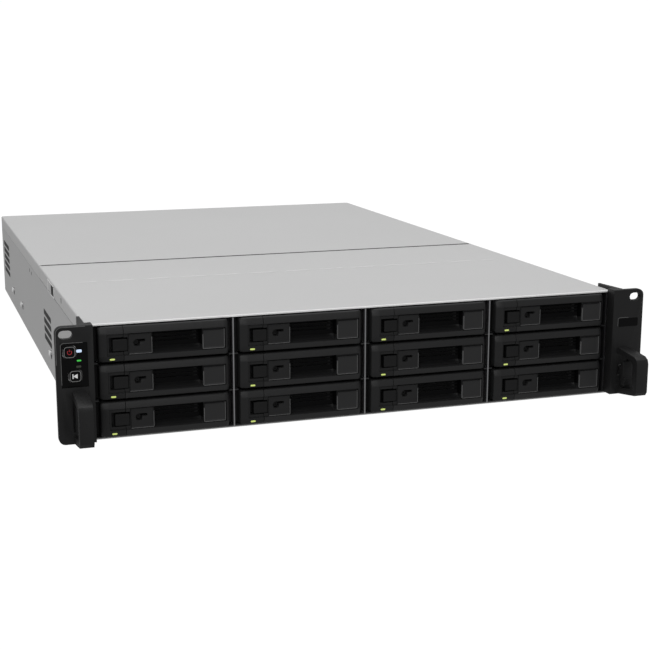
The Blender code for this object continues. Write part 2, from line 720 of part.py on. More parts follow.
def make_trigger(side, name):
    """The release inside the handle: an upright pad over a thicker foot, with a stem to the rail's catch."""
    left, right = span(side, 221.0 * MM, 229.2 * MM)
    pad = box((left, TRIGGER_FRONT, 12.0 * MM), (right, TRIGGER_FRONT + 3.5 * MM, 31.0 * MM))
    foot = box((left, TRIGGER_FRONT - 2.6 * MM, 10.8 * MM), (right, TRIGGER_FRONT + 3.0 * MM, 17.4 * MM))
    left, right = span(side, TRIGGER_STEM_INNER, TRIGGER_STEM_OUTER)
    stem = box((left, TRIGGER_FRONT + 1 * MM, 18.0 * MM), (right, TRIGGER_STEM_END, 26.0 * MM))
    return finished(joined(pad, foot, stem), name, EAR_PLASTIC)


# -------------------------------------------------------------- control panel

WINDOW_LEFT, WINDOW_RIGHT = -237.2 * MM, -218.4 * MM
WINDOW_LOW, WINDOW_HIGH = 45.0 * MM, 77.6 * MM
WINDOW_SUNK = 1.0 * MM
POWER_AT = (-231.2 * MM, 71.2 * MM)
MUTE_AT = (-227.6 * MM, 53.2 * MM)
KEY_HALF = 4.6 * MM
KEY_CORNER = 2.8 * MM
KEY_TRAVEL = 0.8 * MM


def rounded_square(centre, half, corner, steps=3):
    reach = half - corner
    points = []
    for quarter, (sx, sz) in enumerate(((1, 1), (-1, 1), (-1, -1), (1, -1))):
        middle = (centre[0] + sx * reach, centre[1] + sz * reach)
        points += arc(middle, corner, quarter * 90, quarter * 90 + 90, steps)
    return points


def make_control_panel(ear):
    """The glossy window in the left ear with two keys that press in."""
    pocket = box((WINDOW_LEFT - GAP, EAR_FACE - PAST, WINDOW_LOW - GAP),
                 (WINDOW_RIGHT + GAP, EAR_FACE + WINDOW_SUNK + GAP, WINDOW_HIGH + GAP))
    cut(ear, pocket)
    window = box((WINDOW_LEFT, EAR_FACE + 0.1 * MM, WINDOW_LOW),
                 (WINDOW_RIGHT, EAR_FACE + WINDOW_SUNK, WINDOW_HIGH))
    for centre, name in ((POWER_AT, "power_button"), (MUTE_AT, "mute_button")):
        mouth = rounded_square(centre, KEY_HALF + GAP, KEY_CORNER)
        cut(window, prism(mouth, "y", EAR_FACE - PAST, EAR_FACE + WINDOW_SUNK + PAST))
        cut(ear, prism(mouth, "y", EAR_FACE, EAR_FACE + EAR_PLATE + PAST))
        key = prism(rounded_square(centre, KEY_HALF, KEY_CORNER), "y",
                    EAR_FACE - KEY_TRAVEL, EAR_FACE + EAR_PLATE - KEY_TRAVEL)
        finished(key, name, BUTTON_PLASTIC)
    finished(window, "control_window", WINDOW_GLOSS)


# --------------------------------------------------------------- drive trays
# A tray is a carrier with the drive screwed into it and the fixed left part of
# the bezel. The rest of the bezel is the lever, hinged on a pin at its right end
# and let go by a square push button. All are drawn about the bay's middle.

BEZEL_HALF = 49.4 * MM
BEZEL_FRONT = -4.5 * MM
BEZEL_BACK = 4.5 * MM
BEZEL_HALF_HEIGHT = 13.3 * MM
BEZEL_SEAM = -30.5 * MM
SEAM_GAP = 0.4 * MM
INNER_TOP = 7.8 * MM
INNER_LOW = -8.4 * MM
BUTTON_LEFT, BUTTON_RIGHT = -38.7 * MM, -27.8 * MM
BUTTON_LOW, BUTTON_HIGH = -5.4 * MM, 3.6 * MM
BUTTON_FRONT = -3.0 * MM
BUTTON_TRAVEL = 2.0 * MM
LOCK_PLATE_RIGHT = -9.4 * MM
PAD_LEFT = 28.8 * MM
PAD_RIGHT = 44.6 * MM

PIVOT_X = BEZEL_HALF - BEZEL_BACK
PIN_RADIUS = 1.2 * MM
BORE_RADIUS = 1.6 * MM
ARM_HALF = 2.0 * MM

CARRIER_HALF = 52.0 * MM
CARRIER_HALF_HEIGHT = 13.0 * MM
CARRIER_REAR = 176.0 * MM
DRIVE_HALF = 50.8 * MM
DRIVE_FRONT = 20.0 * MM
DRIVE_LENGTH = 147.0 * MM


def make_carrier():
    front_plate = box((-CARRIER_HALF, BEZEL_BACK + 0.5 * MM, -CARRIER_HALF_HEIGHT),
                      (CARRIER_HALF, BEZEL_BACK + 2.1 * MM, CARRIER_HALF_HEIGHT))
    air = box((-6 * MM, BEZEL_BACK - PAST, -4 * MM), (24 * MM, BEZEL_BACK + 4 * MM, 7 * MM))
    carrier = cut(front_plate, air)
    for side in (-1, 1):
        left, right = sorted((side * (CARRIER_HALF - 1.6 * MM), side * CARRIER_HALF))
        rail = box((left, BEZEL_BACK + 1.0 * MM, -CARRIER_HALF_HEIGHT), (right, CARRIER_REAR, 6.0 * MM))
        joined(carrier, rail)
    drive = box((-DRIVE_HALF, DRIVE_FRONT, -CARRIER_HALF_HEIGHT + 0.2 * MM),
                (DRIVE_HALF, DRIVE_FRONT + DRIVE_LENGTH, CARRIER_HALF_HEIGHT + 0.1 * MM))
    fixed_bezel = box((-BEZEL_HALF, BEZEL_FRONT, -BEZEL_HALF_HEIGHT),
                      (BEZEL_SEAM - SEAM_GAP, BEZEL_BACK + 1.0 * MM, BEZEL_HALF_HEIGHT))
    joined(carrier, drive, fixed_bezel)
    pocket = box((BUTTON_LEFT - 0.5 * MM, BEZEL_FRONT - PAST, BUTTON_LOW - 0.5 * MM),
                 (BEZEL_SEAM + PAST, BEZEL_BACK - 0.3 * MM, BUTTON_HIGH + 0.5 * MM))
    cut(carrier, pocket)
    arm = box((PIVOT_X - PIN_RADIUS, 0.0, -ARM_HALF), (PIVOT_X + PIN_RADIUS, BEZEL_BACK + 1.0 * MM, ARM_HALF))
    pin = cylinder((PIVOT_X, 0, 0), PIN_RADIUS, 18.0 * MM, "z", 10)
    joined(carrier, joined(arm, pin))
    return finished(carrier, "carrier", TRAY_PLASTIC)


def make_lever():
    """The moving part of the bezel: a rounded end about the pin, a recessed lock plate and a louvred grip."""
    rounded_end = arc((PIVOT_X, 0), BEZEL_BACK, -90, 90, 8)
    outline = [(BEZEL_SEAM, BEZEL_FRONT)] + rounded_end + [(BEZEL_SEAM, BEZEL_BACK)]
    lever = prism(outline, "z", -BEZEL_HALF_HEIGHT, BEZEL_HALF_HEIGHT)
    button_notch = box((BEZEL_SEAM - PAST, BEZEL_FRONT - PAST, BUTTON_LOW - 0.5 * MM),
                       (BUTTON_RIGHT + 0.4 * MM, BEZEL_BACK + PAST, BUTTON_HIGH + 0.5 * MM))
    recess = box((BEZEL_SEAM - PAST, BEZEL_FRONT - PAST, INNER_LOW), (PAD_LEFT, -2.5 * MM, INNER_TOP))
    grip = box((LOCK_PLATE_RIGHT, BEZEL_FRONT - PAST, -7.4 * MM), (PAD_LEFT - 4 * MM, 2.5 * MM, 6.8 * MM))
    key_hole = box((-20.6 * MM, -2.5 * MM - PAST, -2.6 * MM), (-15.4 * MM, 1.0 * MM, 2.6 * MM))
    louvres = [
        box((-7.4 * MM, 0.0, z), (22.4 * MM, BEZEL_BACK + PAST, z + 1.5 * MM))
        for z in (-0.8 * MM, 2.0 * MM, 4.8 * MM)
    ]
    arm_slot = box((PIVOT_X - 2.0 * MM, -2.0 * MM, -ARM_HALF - 0.4 * MM),
                   (BEZEL_HALF + PAST, BEZEL_BACK + PAST, ARM_HALF + 0.4 * MM))
    pin_bore = cylinder((PIVOT_X, 0, 0), BORE_RADIUS, 19.0 * MM, "z", 10)
    cut(lever, button_notch, recess, grip, key_hole, *louvres, arm_slot, pin_bore)
    lever.data.transform(Matrix.Translation((-PIVOT_X, 0, 0)))
    return finished(lever, "lever", TRAY_PLASTIC)


def make_release_button():
    button = box((BUTTON_LEFT, BUTTON_FRONT, BUTTON_LOW), (BUTTON_RIGHT, BUTTON_FRONT + 4.6 * MM, BUTTON_HIGH))
    return finished(button, "release", BUTTON_PLASTIC)


def make_trays():
    templates = {"tray": make_carrier(), "lever": make_lever(), "release": make_release_button()}
    for row in range(ROWS):
        for column in range(COLUMNS):
            at = (column_x(column), FRONT, row_z(row))
            for kind, template in templates.items():
                shift = PIVOT_X if kind == "lever" else 0.0
                copied(template, f"{kind}_r{ROWS - row}_c{column + 1}", (at[0] + shift, at[1], at[2]))
    for template in templates.values():
        bpy.data.objects.remove(template)


make_pan()
make_covers()
make_cage()
make_backplane()
make_fan_wall()
make_rotors()
make_mainboard()
make_heatsink()
make_rear_ports()
make_power_supplies()
left_ear = make_ear(-1)
right_ear = make_ear(1)
make_control_panel(left_ear)
finished(left_ear, "left_ear", EAR_PLASTIC)
finished(right_ear, "right_ear", EAR_PLASTIC)
make_trigger(-1, "left_trigger")
make_trigger(1, "right_trigger")
make_trays()
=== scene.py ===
import math

import bmesh
import bpy
import numpy as np
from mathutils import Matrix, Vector


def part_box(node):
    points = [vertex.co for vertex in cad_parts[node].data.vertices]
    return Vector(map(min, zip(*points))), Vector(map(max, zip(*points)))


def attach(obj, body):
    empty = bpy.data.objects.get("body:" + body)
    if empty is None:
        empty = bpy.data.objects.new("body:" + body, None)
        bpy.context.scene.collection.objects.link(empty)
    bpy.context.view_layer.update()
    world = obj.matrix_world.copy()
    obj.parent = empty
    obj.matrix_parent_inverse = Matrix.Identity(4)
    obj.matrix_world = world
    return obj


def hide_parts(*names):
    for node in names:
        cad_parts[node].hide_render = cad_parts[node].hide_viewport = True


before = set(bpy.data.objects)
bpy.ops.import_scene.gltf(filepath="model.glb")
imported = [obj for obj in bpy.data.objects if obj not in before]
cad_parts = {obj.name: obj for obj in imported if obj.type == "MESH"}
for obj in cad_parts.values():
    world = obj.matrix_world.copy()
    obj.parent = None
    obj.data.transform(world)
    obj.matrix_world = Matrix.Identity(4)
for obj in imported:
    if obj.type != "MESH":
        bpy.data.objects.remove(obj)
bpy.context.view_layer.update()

MM = 0.001


# ------------------------------------------------------------------ front cover
# The lid over the drives, folded from one coated steel sheet with a short skirt
# down each side. A row of shallow dashes is pressed in ahead of its rear edge.

class Flow:
    """A value in a material's nodes. Arithmetic on it adds Math nodes, and make adds any other
    node."""

    def __init__(self, tree, socket=None):
        self.tree, self.socket = tree, socket

    def make(self, kind, settings=None, values=None, out=0):
        node = self.tree.nodes.new("ShaderNode" + kind)
        for key, setting in (settings or {}).items():
            if key == "stops":
                while len(node.color_ramp.elements) < len(setting):
                    node.color_ramp.elements.new(0.5)
                for element, (at, shade) in zip(node.color_ramp.elements, setting):
                    element.position, element.color = at, (shade, shade, shade, 1.0)
            else:
                setattr(node, key, setting)
        for key, value in (values or {}).items():
            if isinstance(value, Flow):
                self.tree.links.new(value.socket, node.inputs[key])
            else:
                node.inputs[key].default_value = value
        return Flow(self.tree, node.outputs[out])

    def math(self, operation, first, second=0.0, third=0.0):
        return self.make("Math", {"operation": operation}, {0: first, 1: second, 2: third})

    def __add__(self, other):
        return self.math("ADD", self, other)

    def __sub__(self, other):
        return self.math("SUBTRACT", self, other)

    def __mul__(self, other):
        return self.math("MULTIPLY", self, other)

    def __radd__(self, other):
        return self.math("ADD", other, self)

    def __rsub__(self, other):
        return self.math("SUBTRACT", other, self)

    def __rmul__(self, other):
        return self.math("MULTIPLY", other, self)

    def between(self, low, high):
        """0 below low, 1 above high, and a straight climb between."""
        return self.make("MapRange", {}, {"Value": self, "From Min": low, "From Max": high})

    def tint(self, dark, light):
        """The colour part of the way from dark to light."""
        return self.make("Mix", {"data_type": "RGBA"},
                         {0: self, 6: (*dark, 1.0), 7: (*light, 1.0)}, out=2)


def start_finish(name, metallic=0.0, specular=0.5):
    """A new material: its shader node, and the place on the piece as a Flow."""
    made = bpy.data.materials.new(name)
    made.use_nodes = True
    shader = made.node_tree.nodes["Principled BSDF"]
    shader.inputs["Metallic"].default_value = metallic
    shader.inputs["Specular IOR Level"].default_value = specular
    return made, shader, Flow(made.node_tree).make("TexCoord", out=3)


def feed(shader, socket, value):
    shader.id_data.links.new(value.socket, shader.inputs[socket])


def speckle(place, scale, detail=2.0, rough=0.5):
    """Noise from 0 to 1, with scale in grains per metre."""
    return place.make("TexNoise", {}, {"Vector": place, "Scale": scale, "Detail": detail,
                                       "Roughness": rough})


def streaks(place, stretch, scale, detail=2.0):
    """Noise drawn out along the axes where stretch is small."""
    long = place.make("Mapping", {}, {"Vector": place, "Scale": stretch})
    return speckle(long, scale, detail)


def raise_grain(shader, height, distance, strength=1.0):
    bump = height.make("Bump", {}, {"Height": height, "Distance": distance, "Strength": strength})
    feed(shader, "Normal", bump)


def coated_steel(name, dark, light):
    """Powder coat: fine orange peel, with cloudy patches that are hardly there."""
    made, shader, place = start_finish(name)
    peel = speckle(place, 1400, 3.0)
    cloud = speckle(place, 7, 2.0)
    feed(shader, "Base Color", (peel * 0.45 + cloud * 0.55).tint(dark, light))
    feed(shader, "Roughness", 0.36 + peel * 0.16)
    raise_grain(shader, peel, 0.00006, 0.5)
    return made


COVER_COAT = coated_steel("cover_coat", (0.52, 0.52, 0.52), (0.565, 0.565, 0.565))


def smooth(t):
    """0 before 0, 1 after 1, and 3t^2 - 2t^3 between."""
    t = np.clip(t, 0.0, 1.0)
    return t * t * (3.0 - 2.0 * t)


def lines(low, high, step, edges=(), width=0.5):
    """Grid lines every step, with four close together across each edge."""
    count = max(2, int(round((high - low) / step)) + 1)
    even = np.linspace(low, high, count)
    close = (np.asarray(edges, float)[:, None] + width * np.array([-0.5, -0.17, 0.17, 0.5])).ravel()
    clear = [v for v in even
             if not len(close) or np.abs(close - v).min() > 0.3 * width or v in (low, high)]
    every = np.unique(np.round(np.concatenate([clear, close[(close > low) & (close < high)]]), 5))
    return every[np.concatenate([[True], np.diff(every) > 1e-4])]


def shell(near, far, keep=None):
    """A closed sheet between two grids of points, near facing along du x dv. Cells left out are
    open to the far side, and a wall runs round each opening and round the whole."""
    nu, nv = near.shape[:2]
    keep = np.ones((nu - 1, nv - 1), bool) if keep is None else keep
    points = np.concatenate([near.reshape(-1, 3), far.reshape(-1, 3)])
    n = np.arange(nu * nv).reshape(nu, nv)
    f = n + nu * nv
    a, b, c, d = (n[:-1, :-1], n[1:, :-1], n[1:, 1:], n[:-1, 1:])
    quads = [np.stack([a, b, c, d], -1)[keep], (np.stack([a, d, c, b], -1) + nu * nv)[keep]]
    wide = np.pad(keep, 1)
    for here, before, flip in ((wide[1:, 1:-1], wide[:-1, 1:-1], False),
                               (wide[:-1, 1:-1], wide[1:, 1:-1], True)):
        wall = np.stack([n[:, :-1], n[:, 1:], f[:, 1:], f[:, :-1]], -1)[here & ~before]
        quads.append(wall[:, ::-1] if flip else wall)
    for here, before, flip in ((wide[1:-1, 1:], wide[1:-1, :-1], False),
                               (wide[1:-1, :-1], wide[1:-1, 1:], True)):
        wall = np.stack([n[:-1], f[:-1], f[1:], n[1:]], -1)[here & ~before]
        quads.append(wall[:, ::-1] if flip else wall)
    faces = np.concatenate(quads)
    used, again = np.unique(faces, return_inverse=True)
    return points[used], again.reshape(faces.shape).tolist()


def loft(rings, caps=True):
    """A skin over closed rings of points, each ring turning left about the way the rings go."""
    count, around = rings.shape[:2]
    at = np.arange(count * around).reshape(count, around)
    turn = np.roll(at, -1, axis=1)
    faces = np.stack([at[:-1], turn[:-1], turn[1:], at[1:]], -1).reshape(-1, 4).tolist()
    if caps:
        faces += [at[0][::-1].tolist(), at[-1].tolist()]
    return rings.reshape(-1, 3), faces


# Two directions across and one along, for work that faces each way
FACING = {
    "front": np.array([(1, 0, 0), (0, 0, 1), (0, -1, 0)], float),
    "rear": np.array([(0, 0, 1), (1, 0, 0), (0, 1, 0)], float),
    "up": np.array([(1, 0, 0), (0, 1, 0), (0, 0, 1)], float),
    "left": np.array([(0, 0, 1), (0, 1, 0), (-1, 0, 0)], float),
    "right": np.array([(0, 1, 0), (0, 0, 1), (1, 0, 0)], float),
}


def turned(centre, facing, profile, sides=32):
    """A profile of (radius, height) carried round an axis through the centre."""
    profile = np.asarray(profile, float)
    angle = np.linspace(0, 2 * np.pi, sides, endpoint=False)
    circle = np.stack([np.cos(angle), np.sin(angle), np.zeros(sides)], -1)
    rings = circle[None] * profile[:, :1, None] + np.array([0, 0, 1.0]) * profile[:, 1:, None]
    return loft(np.asarray(centre) + rings @ FACING[facing])


def rounded(half, corner, steps=5):
    """A rectangle's outline with quarter-circle corners, turning left."""
    angle = np.linspace(0, np.pi / 2, steps + 1)[None] + (np.pi / 2) * np.arange(4)[:, None]
    reach = np.asarray(half)[None] - corner
    sign = np.array([(1, 1), (-1, 1), (-1, -1), (1, -1)], float)
    arcs = np.stack([np.cos(angle), np.sin(angle)], -1) * corner + (sign * reach)[:, None]
    return arcs.reshape(-1, 2)


def block(centre, facing, half, corner, profile, steps=5):
    """Rounded rectangles stacked along an axis, for each (inset, height) of the profile."""
    rings = []
    for inset, height in profile:
        flat = rounded((half[0] - inset, half[1] - inset), max(corner - inset, 0.02 * MM), steps)
        rings.append(np.column_stack([flat, np.full(len(flat), height)]))
    return loft(np.asarray(centre) + np.array(rings) @ FACING[facing])


def bar(low, high, edge=0.3 * MM):
    """A box from its low to its high corner, with its upright and its end edges eased."""
    low, high = np.asarray(low, float), np.asarray(high, float)
    middle, half = (low + high) / 2, (high - low) / 2
    profile = [(edge, -half[2]), (0, -half[2] + edge), (0, half[2] - edge), (edge, half[2])]
    return block(middle, "up", half[:2], edge * 1.5, profile, 2)


def piece(name, body, slot, *shapes, replaces=()):
    """One object of several (points, faces) shapes, each with one material or a list of one a
    face, riding on a body."""
    points, faces, which, finishes = [], [], [], []
    start = 0
    for (corners, sides), finish in shapes:
        each = finish if isinstance(finish, list) else [finish] * len(sides)
        finishes += [one for one in dict.fromkeys(each) if one not in finishes]
        points.append(corners)
        faces += [[start + v for v in side] for side in sides]
        which += [finishes.index(one) for one in each]
        start += len(corners)
    mesh = bpy.data.meshes.new(name)
    mesh.from_pydata(np.concatenate(points).tolist(), [], faces)
    for finish in finishes:
        mesh.materials.append(finish)
    mesh.polygons.foreach_set("material_index", which)
    mesh.shade_smooth()
    mesh.set_sharp_from_angle(angle=math.radians(32))
    mesh.update()
    made = bpy.data.objects.new(name, mesh)
    bpy.context.scene.collection.objects.link(made)
    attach(made, body)
    if replaces:
        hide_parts(*replaces)
    return made


def mirror(shape):
    """The shape across the middle plane, with its faces turned back out."""
    points, faces = shape
    return points * (-1, 1, 1), [side[::-1] for side in faces]


SHEET = 1.2 * MM
BEND = 1.6 * MM
TOP_STEPS = 120


def folded(low, high, ys, press=None, keep=None):
    """A lid's section, up one skirt, over the top and down the other, carried along y. The
    section is straight runs joined by quarter circles. press(x, y) pushes the top down."""
    side, top, bottom = high[0], high[2], low[2]
    quarter = np.linspace(0, np.pi / 2, 6)
    rise = np.linspace(bottom, top - BEND, 4)[:-1]
    across = np.linspace(-side + BEND, side - BEND, TOP_STEPS)
    x = np.concatenate([np.full(3, -side), -side + BEND * (1 - np.cos(quarter)), across[1:-1],
                        side - BEND * (1 - np.cos(quarter[::-1])), np.full(3, side)])
    z = np.concatenate([rise, top - BEND * (1 - np.sin(quarter)), np.full(TOP_STEPS - 2, top),
                        top - BEND * (1 - np.sin(quarter[::-1])), rise[::-1]])
    run = np.gradient(np.stack([x, z], -1), axis=0)
    out = np.stack([-run[:, 1], run[:, 0]], -1) / np.linalg.norm(run, axis=1)[:, None]
    X, Y = np.meshgrid(x, ys, indexing="ij")
    Z = np.repeat(z[:, None], len(ys), 1)
    dip = np.zeros_like(X) if press is None else press(X, Y) * (Z > top - 0.01 * MM)
    outer = np.stack([X, Y, Z - dip], -1)
    inner = np.stack([X - out[:, :1] * SHEET, Y, Z - out[:, 1:] * SHEET - dip], -1)
    return shell(outer, inner, keep)


low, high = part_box("front_cover")
FRONT, SEAM, TOP, SIDE = low.y, high.y, high.z, high.x
DASH_PITCH = 32 * MM
dash_row = FRONT + 177 * MM


def dashes(x, y):
    """Shallow oblong dents in one row, each a smooth step of the distance from its own middle
    line, and a smooth step down along the rear edge."""
    along = np.abs((x + DASH_PITCH / 2) % DASH_PITCH - DASH_PITCH / 2)
    reach = np.hypot(np.maximum(along - 10 * MM, 0), y - dash_row)
    inside = smooth((SIDE - 20 * MM - np.abs(x)) / (2 * MM))
    step = 1.1 * MM * smooth((y - SEAM + 3.4 * MM) / (0.6 * MM))
    return 0.6 * MM * inside * (1 - smooth((reach - 0.9 * MM) / (1.0 * MM))) + step


ys = lines(FRONT, SEAM, 12 * MM, [dash_row - 1.4 * MM, dash_row + 1.4 * MM, SEAM - 3.1 * MM], 1.0 * MM)
piece("front_lid", "chassis", "coated_steel",
      (folded(low, high, ys, dashes), COVER_COAT), replaces=["front_cover"])

# The hem along the front edge is painted near white: a painted highlight for the bright line of light it
# catches.
made, shader, place = start_finish("painted_highlight_coat", specular=0.6)
feed(shader, "Base Color", speckle(place, 60).tint((0.84, 0.84, 0.84), (0.9, 0.9, 0.9)))
feed(shader, "Roughness", 0.3 + speckle(place, 900) * 0.1)
hem = bar((-SIDE + 2.2 * MM, FRONT - 0.15 * MM, TOP - 1.15 * MM),
          (SIDE - 2.2 * MM, FRONT + 2.2 * MM, TOP + 0.06 * MM), 0.1 * MM)
PAINTED_HIGHLIGHT = made
piece("front_hem_highlight", "chassis", "coated_steel", (hem, PAINTED_HIGHLIGHT))

# The side catch: a pocket in each skirt, drawn as a near black patch of painted shade, with a grey
# sliding tab in its rear part and a painted highlight rim round the pocket. A small hole ahead of it is a
# patch of painted shade too.
made, shader, place = start_finish("pocket_shade")
feed(shader, "Base Color", speckle(place, 300).tint((0.006, 0.006, 0.006), (0.012, 0.012, 0.012)))
feed(shader, "Roughness", 0.6 + speckle(place, 900) * 0.2)
POCKET_SHADE = made

catch_middle = 80.8 * MM
catch_away = FRONT + 193.5 * MM
for word, sign in (("left", -1), ("right", 1)):
    pocket = block((-SIDE, catch_away, catch_middle), "left", (4.9 * MM, 20.6 * MM), 0.8 * MM,
                   [(0, -0.6 * MM), (0, 0.02 * MM)])
    tab = block((-SIDE, FRONT + 202.5 * MM, catch_middle), "left", (4.3 * MM, 10.0 * MM), 0.8 * MM,
                [(0, -0.4 * MM), (0, 0.1 * MM), (0.3 * MM, 0.3 * MM)])
    rim = [bar((-SIDE - 0.35 * MM, catch_away + a * MM, catch_middle + b * MM),
               (-SIDE + 0.1 * MM, catch_away + c * MM, catch_middle + d * MM), 0.1 * MM)
           for a, b, c, d in ((-21.2, -5.2, -20.4, 5.2), (20.4, -5.2, 21.2, 5.2),
                              (-21.2, 4.7, 21.2, 5.2), (-21.2, -5.2, 21.2, -4.7))]
    hole = block((-SIDE, FRONT + 127 * MM, 82.6 * MM), "left", (2.4 * MM, 1.5 * MM), 1.2 * MM,
                 [(0, -0.3 * MM), (0, 0.02 * MM)])
    turn = (lambda shape: shape) if sign < 0 else mirror
    piece(f"{word}_cover_catch", "chassis", "coated_steel", (turn(pocket), POCKET_SHADE),
          (turn(hole), POCKET_SHADE), (turn(tab), COVER_COAT), *[(turn(edge), PAINTED_HIGHLIGHT) for edge in rim])

# Dark grey strips under the joint between the lids, across the top and down each side: painted shade for
# the dark line of the seam.
made, shader, place = start_finish("seam_painted_shade", specular=0.2)
feed(shader, "Base Color", speckle(place, 900).tint((0.07, 0.07, 0.07), (0.11, 0.11, 0.11)))
feed(shader, "Roughness", 0.7 + speckle(place, 900) * 0.2)
SEAM_SHADE = made

seam_shade_strips = [bar((-SIDE + 2.4 * MM, SEAM - 2.6 * MM, TOP - 1.1 * MM),
            (SIDE - 2.4 * MM, SEAM - 0.1 * MM, TOP - 0.9 * MM), 0.05 * MM),
        bar((-SIDE + 2.4 * MM, SEAM + 0.1 * MM, TOP - 1.3 * MM),
            (SIDE - 2.4 * MM, SEAM + 1.1 * MM, TOP - 0.05 * MM), 0.05 * MM)]
for side in (-SIDE + 1.25 * MM, SIDE - 1.45 * MM):
    seam_shade_strips.append(bar((side, SEAM - 3 * MM, 77 * MM),
                    (side + 0.2 * MM, SEAM + 4 * MM, TOP - 2.2 * MM), 0.05 * MM))
piece("lid_seam_shade", "chassis", "window_gloss", *[(strip, SEAM_SHADE) for strip in seam_shade_strips])


# ------------------------------------------------------------------- rear cover
# The lid over the boards and fans, folded like the front one. It lifts off.

low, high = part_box("rear_cover")
ys = lines(low.y, high.y, 16 * MM)
piece("rear_lid", "rear_cover", "coated_steel", (folded(low, high, ys), COVER_COAT),
      replaces=["rear_cover"])


# ---------------------------------------------------------------- chassis pan
# The folded steel tub: its CAD sheet stays, in a coat a little darker than the lids', painted shade
# for its less lit sides, with the shoulder studs that hang on the slide rails, painted bright as
# highlights in rings of painted shade, two small holes drawn as discs of painted shade, and pads of
# painted shade behind the vents.

SHADED_PAN_COAT = coated_steel("pan_coat_shaded", (0.46, 0.46, 0.46), (0.51, 0.51, 0.51))


def dress(node, finish):
    """Gives a CAD node another material."""
    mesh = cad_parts[node].data
    mesh.materials.clear()
    mesh.materials.append(finish)


dress("chassis_pan", SHADED_PAN_COAT)

# The studs are painted a bright highlight, each in a ring of painted shade, and the holes are discs of
# painted shade.
STUD_PLACES = (210, 445, 534)
stud = [(1.8 * MM, -0.2 * MM), (1.8 * MM, 1.2 * MM), (2.7 * MM, 1.3 * MM), (2.8 * MM, 1.5 * MM),
        (2.8 * MM, 1.9 * MM), (2.5 * MM, 2.2 * MM), (1.0 * MM, 2.2 * MM), (0.9 * MM, 1.4 * MM)]
hole = [(1.9 * MM, -0.3 * MM), (1.9 * MM, 0.02 * MM)]
stud_shade_ring = [(4.2 * MM, -0.3 * MM), (4.2 * MM, 0.03 * MM)]
studs = [turned((-SIDE, FRONT + away * MM, 20 * MM), "left", stud) for away in STUD_PLACES]
holes = [turned((-SIDE, FRONT + away * MM, height * MM), "left", hole, 20)
         for away, height in ((345, 69.4), (361, 70))]
# Near black pads behind the vent slots: painted shade.
vent_shade_pads = [block((-SIDE, FRONT + (front + length / 2) * MM, (low + k * 7.6) * MM), "left",
              (2.6 * MM, (length / 2 + 0.3) * MM), 2.55 * MM,
              [(0.3 * MM, -1.5 * MM), (0, -0.9 * MM), (0, 0.02 * MM)])
        for front, length, low, count in ((573, 58, 29.6, 5), (203, 51, 27.2, 4))
        for k in range(count)]
for word, turn in (("left", lambda shape: shape), ("right", mirror)):
    piece(f"{word}_rail_studs", "chassis", "zinc_steel", *[(turn(s), PAINTED_HIGHLIGHT) for s in studs],
          *[(turn(turned((-SIDE, FRONT + away * MM, 18.6 * MM), "left", stud_shade_ring, 24)), POCKET_SHADE)
            for away in STUD_PLACES])
    piece(f"{word}_side_holes", "chassis", "window_gloss", *[(turn(s), POCKET_SHADE) for s in holes])
    piece(f"{word}_vent_painted_shade", "chassis", "fan_plastic", *[(turn(pad), POCKET_SHADE) for pad in vent_shade_pads])


# -------------------------------------------------------------------- bay cage
# Sheet dividers between the tray columns. Only the thin front edges of the three inner dividers
# show steel; the ledges and the outer walls are painted near black as painted shade.

made, shader, place = start_finish("divider_steel_and_painted_shade")
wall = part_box("bay_cage")
pitch = (wall[1].x - wall[0].x - 1.0 * MM) / 4
x = place.make("SeparateXYZ", {}, {0: place})
off = x.math("PINGPONG", x + (2 * pitch), pitch / 2)
inner = 1 - x.math("ABSOLUTE", x).between(1.4 * pitch, 1.5 * pitch)
steel_else_painted_shade = (1 - off.between(0.55 * MM, 0.65 * MM)) * inner
brushed = streaks(place, (1, 0.02, 1), 900)
# Away from the inner dividers' front edges the steel is painted near black: painted shade.
feed(shader, "Base Color",
     (steel_else_painted_shade * (0.75 + brushed * 0.25)).tint((0.012, 0.012, 0.013), (0.36, 0.36, 0.37)))
feed(shader, "Metallic", steel_else_painted_shade * 0.85)
feed(shader, "Roughness", 0.5 - steel_else_painted_shade * (0.1 + brushed * 0.1))
dress("bay_cage", made)


# ----------------------------------------------------------------- drive trays
# Each tray: a moulded bezel in two parts, the fixed one at the left with the
# lamp, and the lever, carved with a lock plate, a louvred grip and a flat pad.
# Its sizes are in millimetres from the bezel's middle; boxes are left, right, low, high.

def moulded(name, dark, light, grit=2600, rough=(0.36, 0.5), depth=0.00005, gleam=0.22):
    """Spark-eroded black plastic: a fine even grit, rubbed a little smoother in cloudy patches."""
    made, shader, place = start_finish(name, specular=gleam)
    grain = speckle(place, grit, 2.0, 0.6)
    rubbed = speckle(place, 35, 3.0)
    feed(shader, "Base Color", (grain * 0.6 + rubbed * 0.4).tint(dark, light))
    feed(shader, "Roughness", rough[0] + (grain * 0.5 + rubbed * 0.5) * (rough[1] - rough[0]))
    raise_grain(shader, grain, depth, 0.6)
    return made


# A near black copy of the bezel plastic for the bars behind the louvres: painted shade.
RECESS_SHADE = moulded("recess_painted_shade", (0.002, 0.002, 0.0022), (0.004, 0.004, 0.0042), 1800,
                (0.6, 0.75), gleam=0.05)
BEZEL = moulded("bezel_plastic", (0.0115, 0.0115, 0.0118), (0.0175, 0.0175, 0.018))
# A darker copy of the bezel plastic for the grip, painted shade, and a lighter one for the pad and lower
# rail, painted light.
GRIP_SHADE = moulded("grip_painted_shade", (0.002, 0.002, 0.0022), (0.004, 0.004, 0.0042), 1800,
                       (0.6, 0.75), gleam=0.05)
PAD_AND_RAIL_LIGHT = moulded("pad_painted_light", (0.019, 0.019, 0.0195), (0.027, 0.027, 0.0275))
BUTTON = moulded("button_plastic", (0.0058, 0.0058, 0.006), (0.009, 0.009, 0.0093))
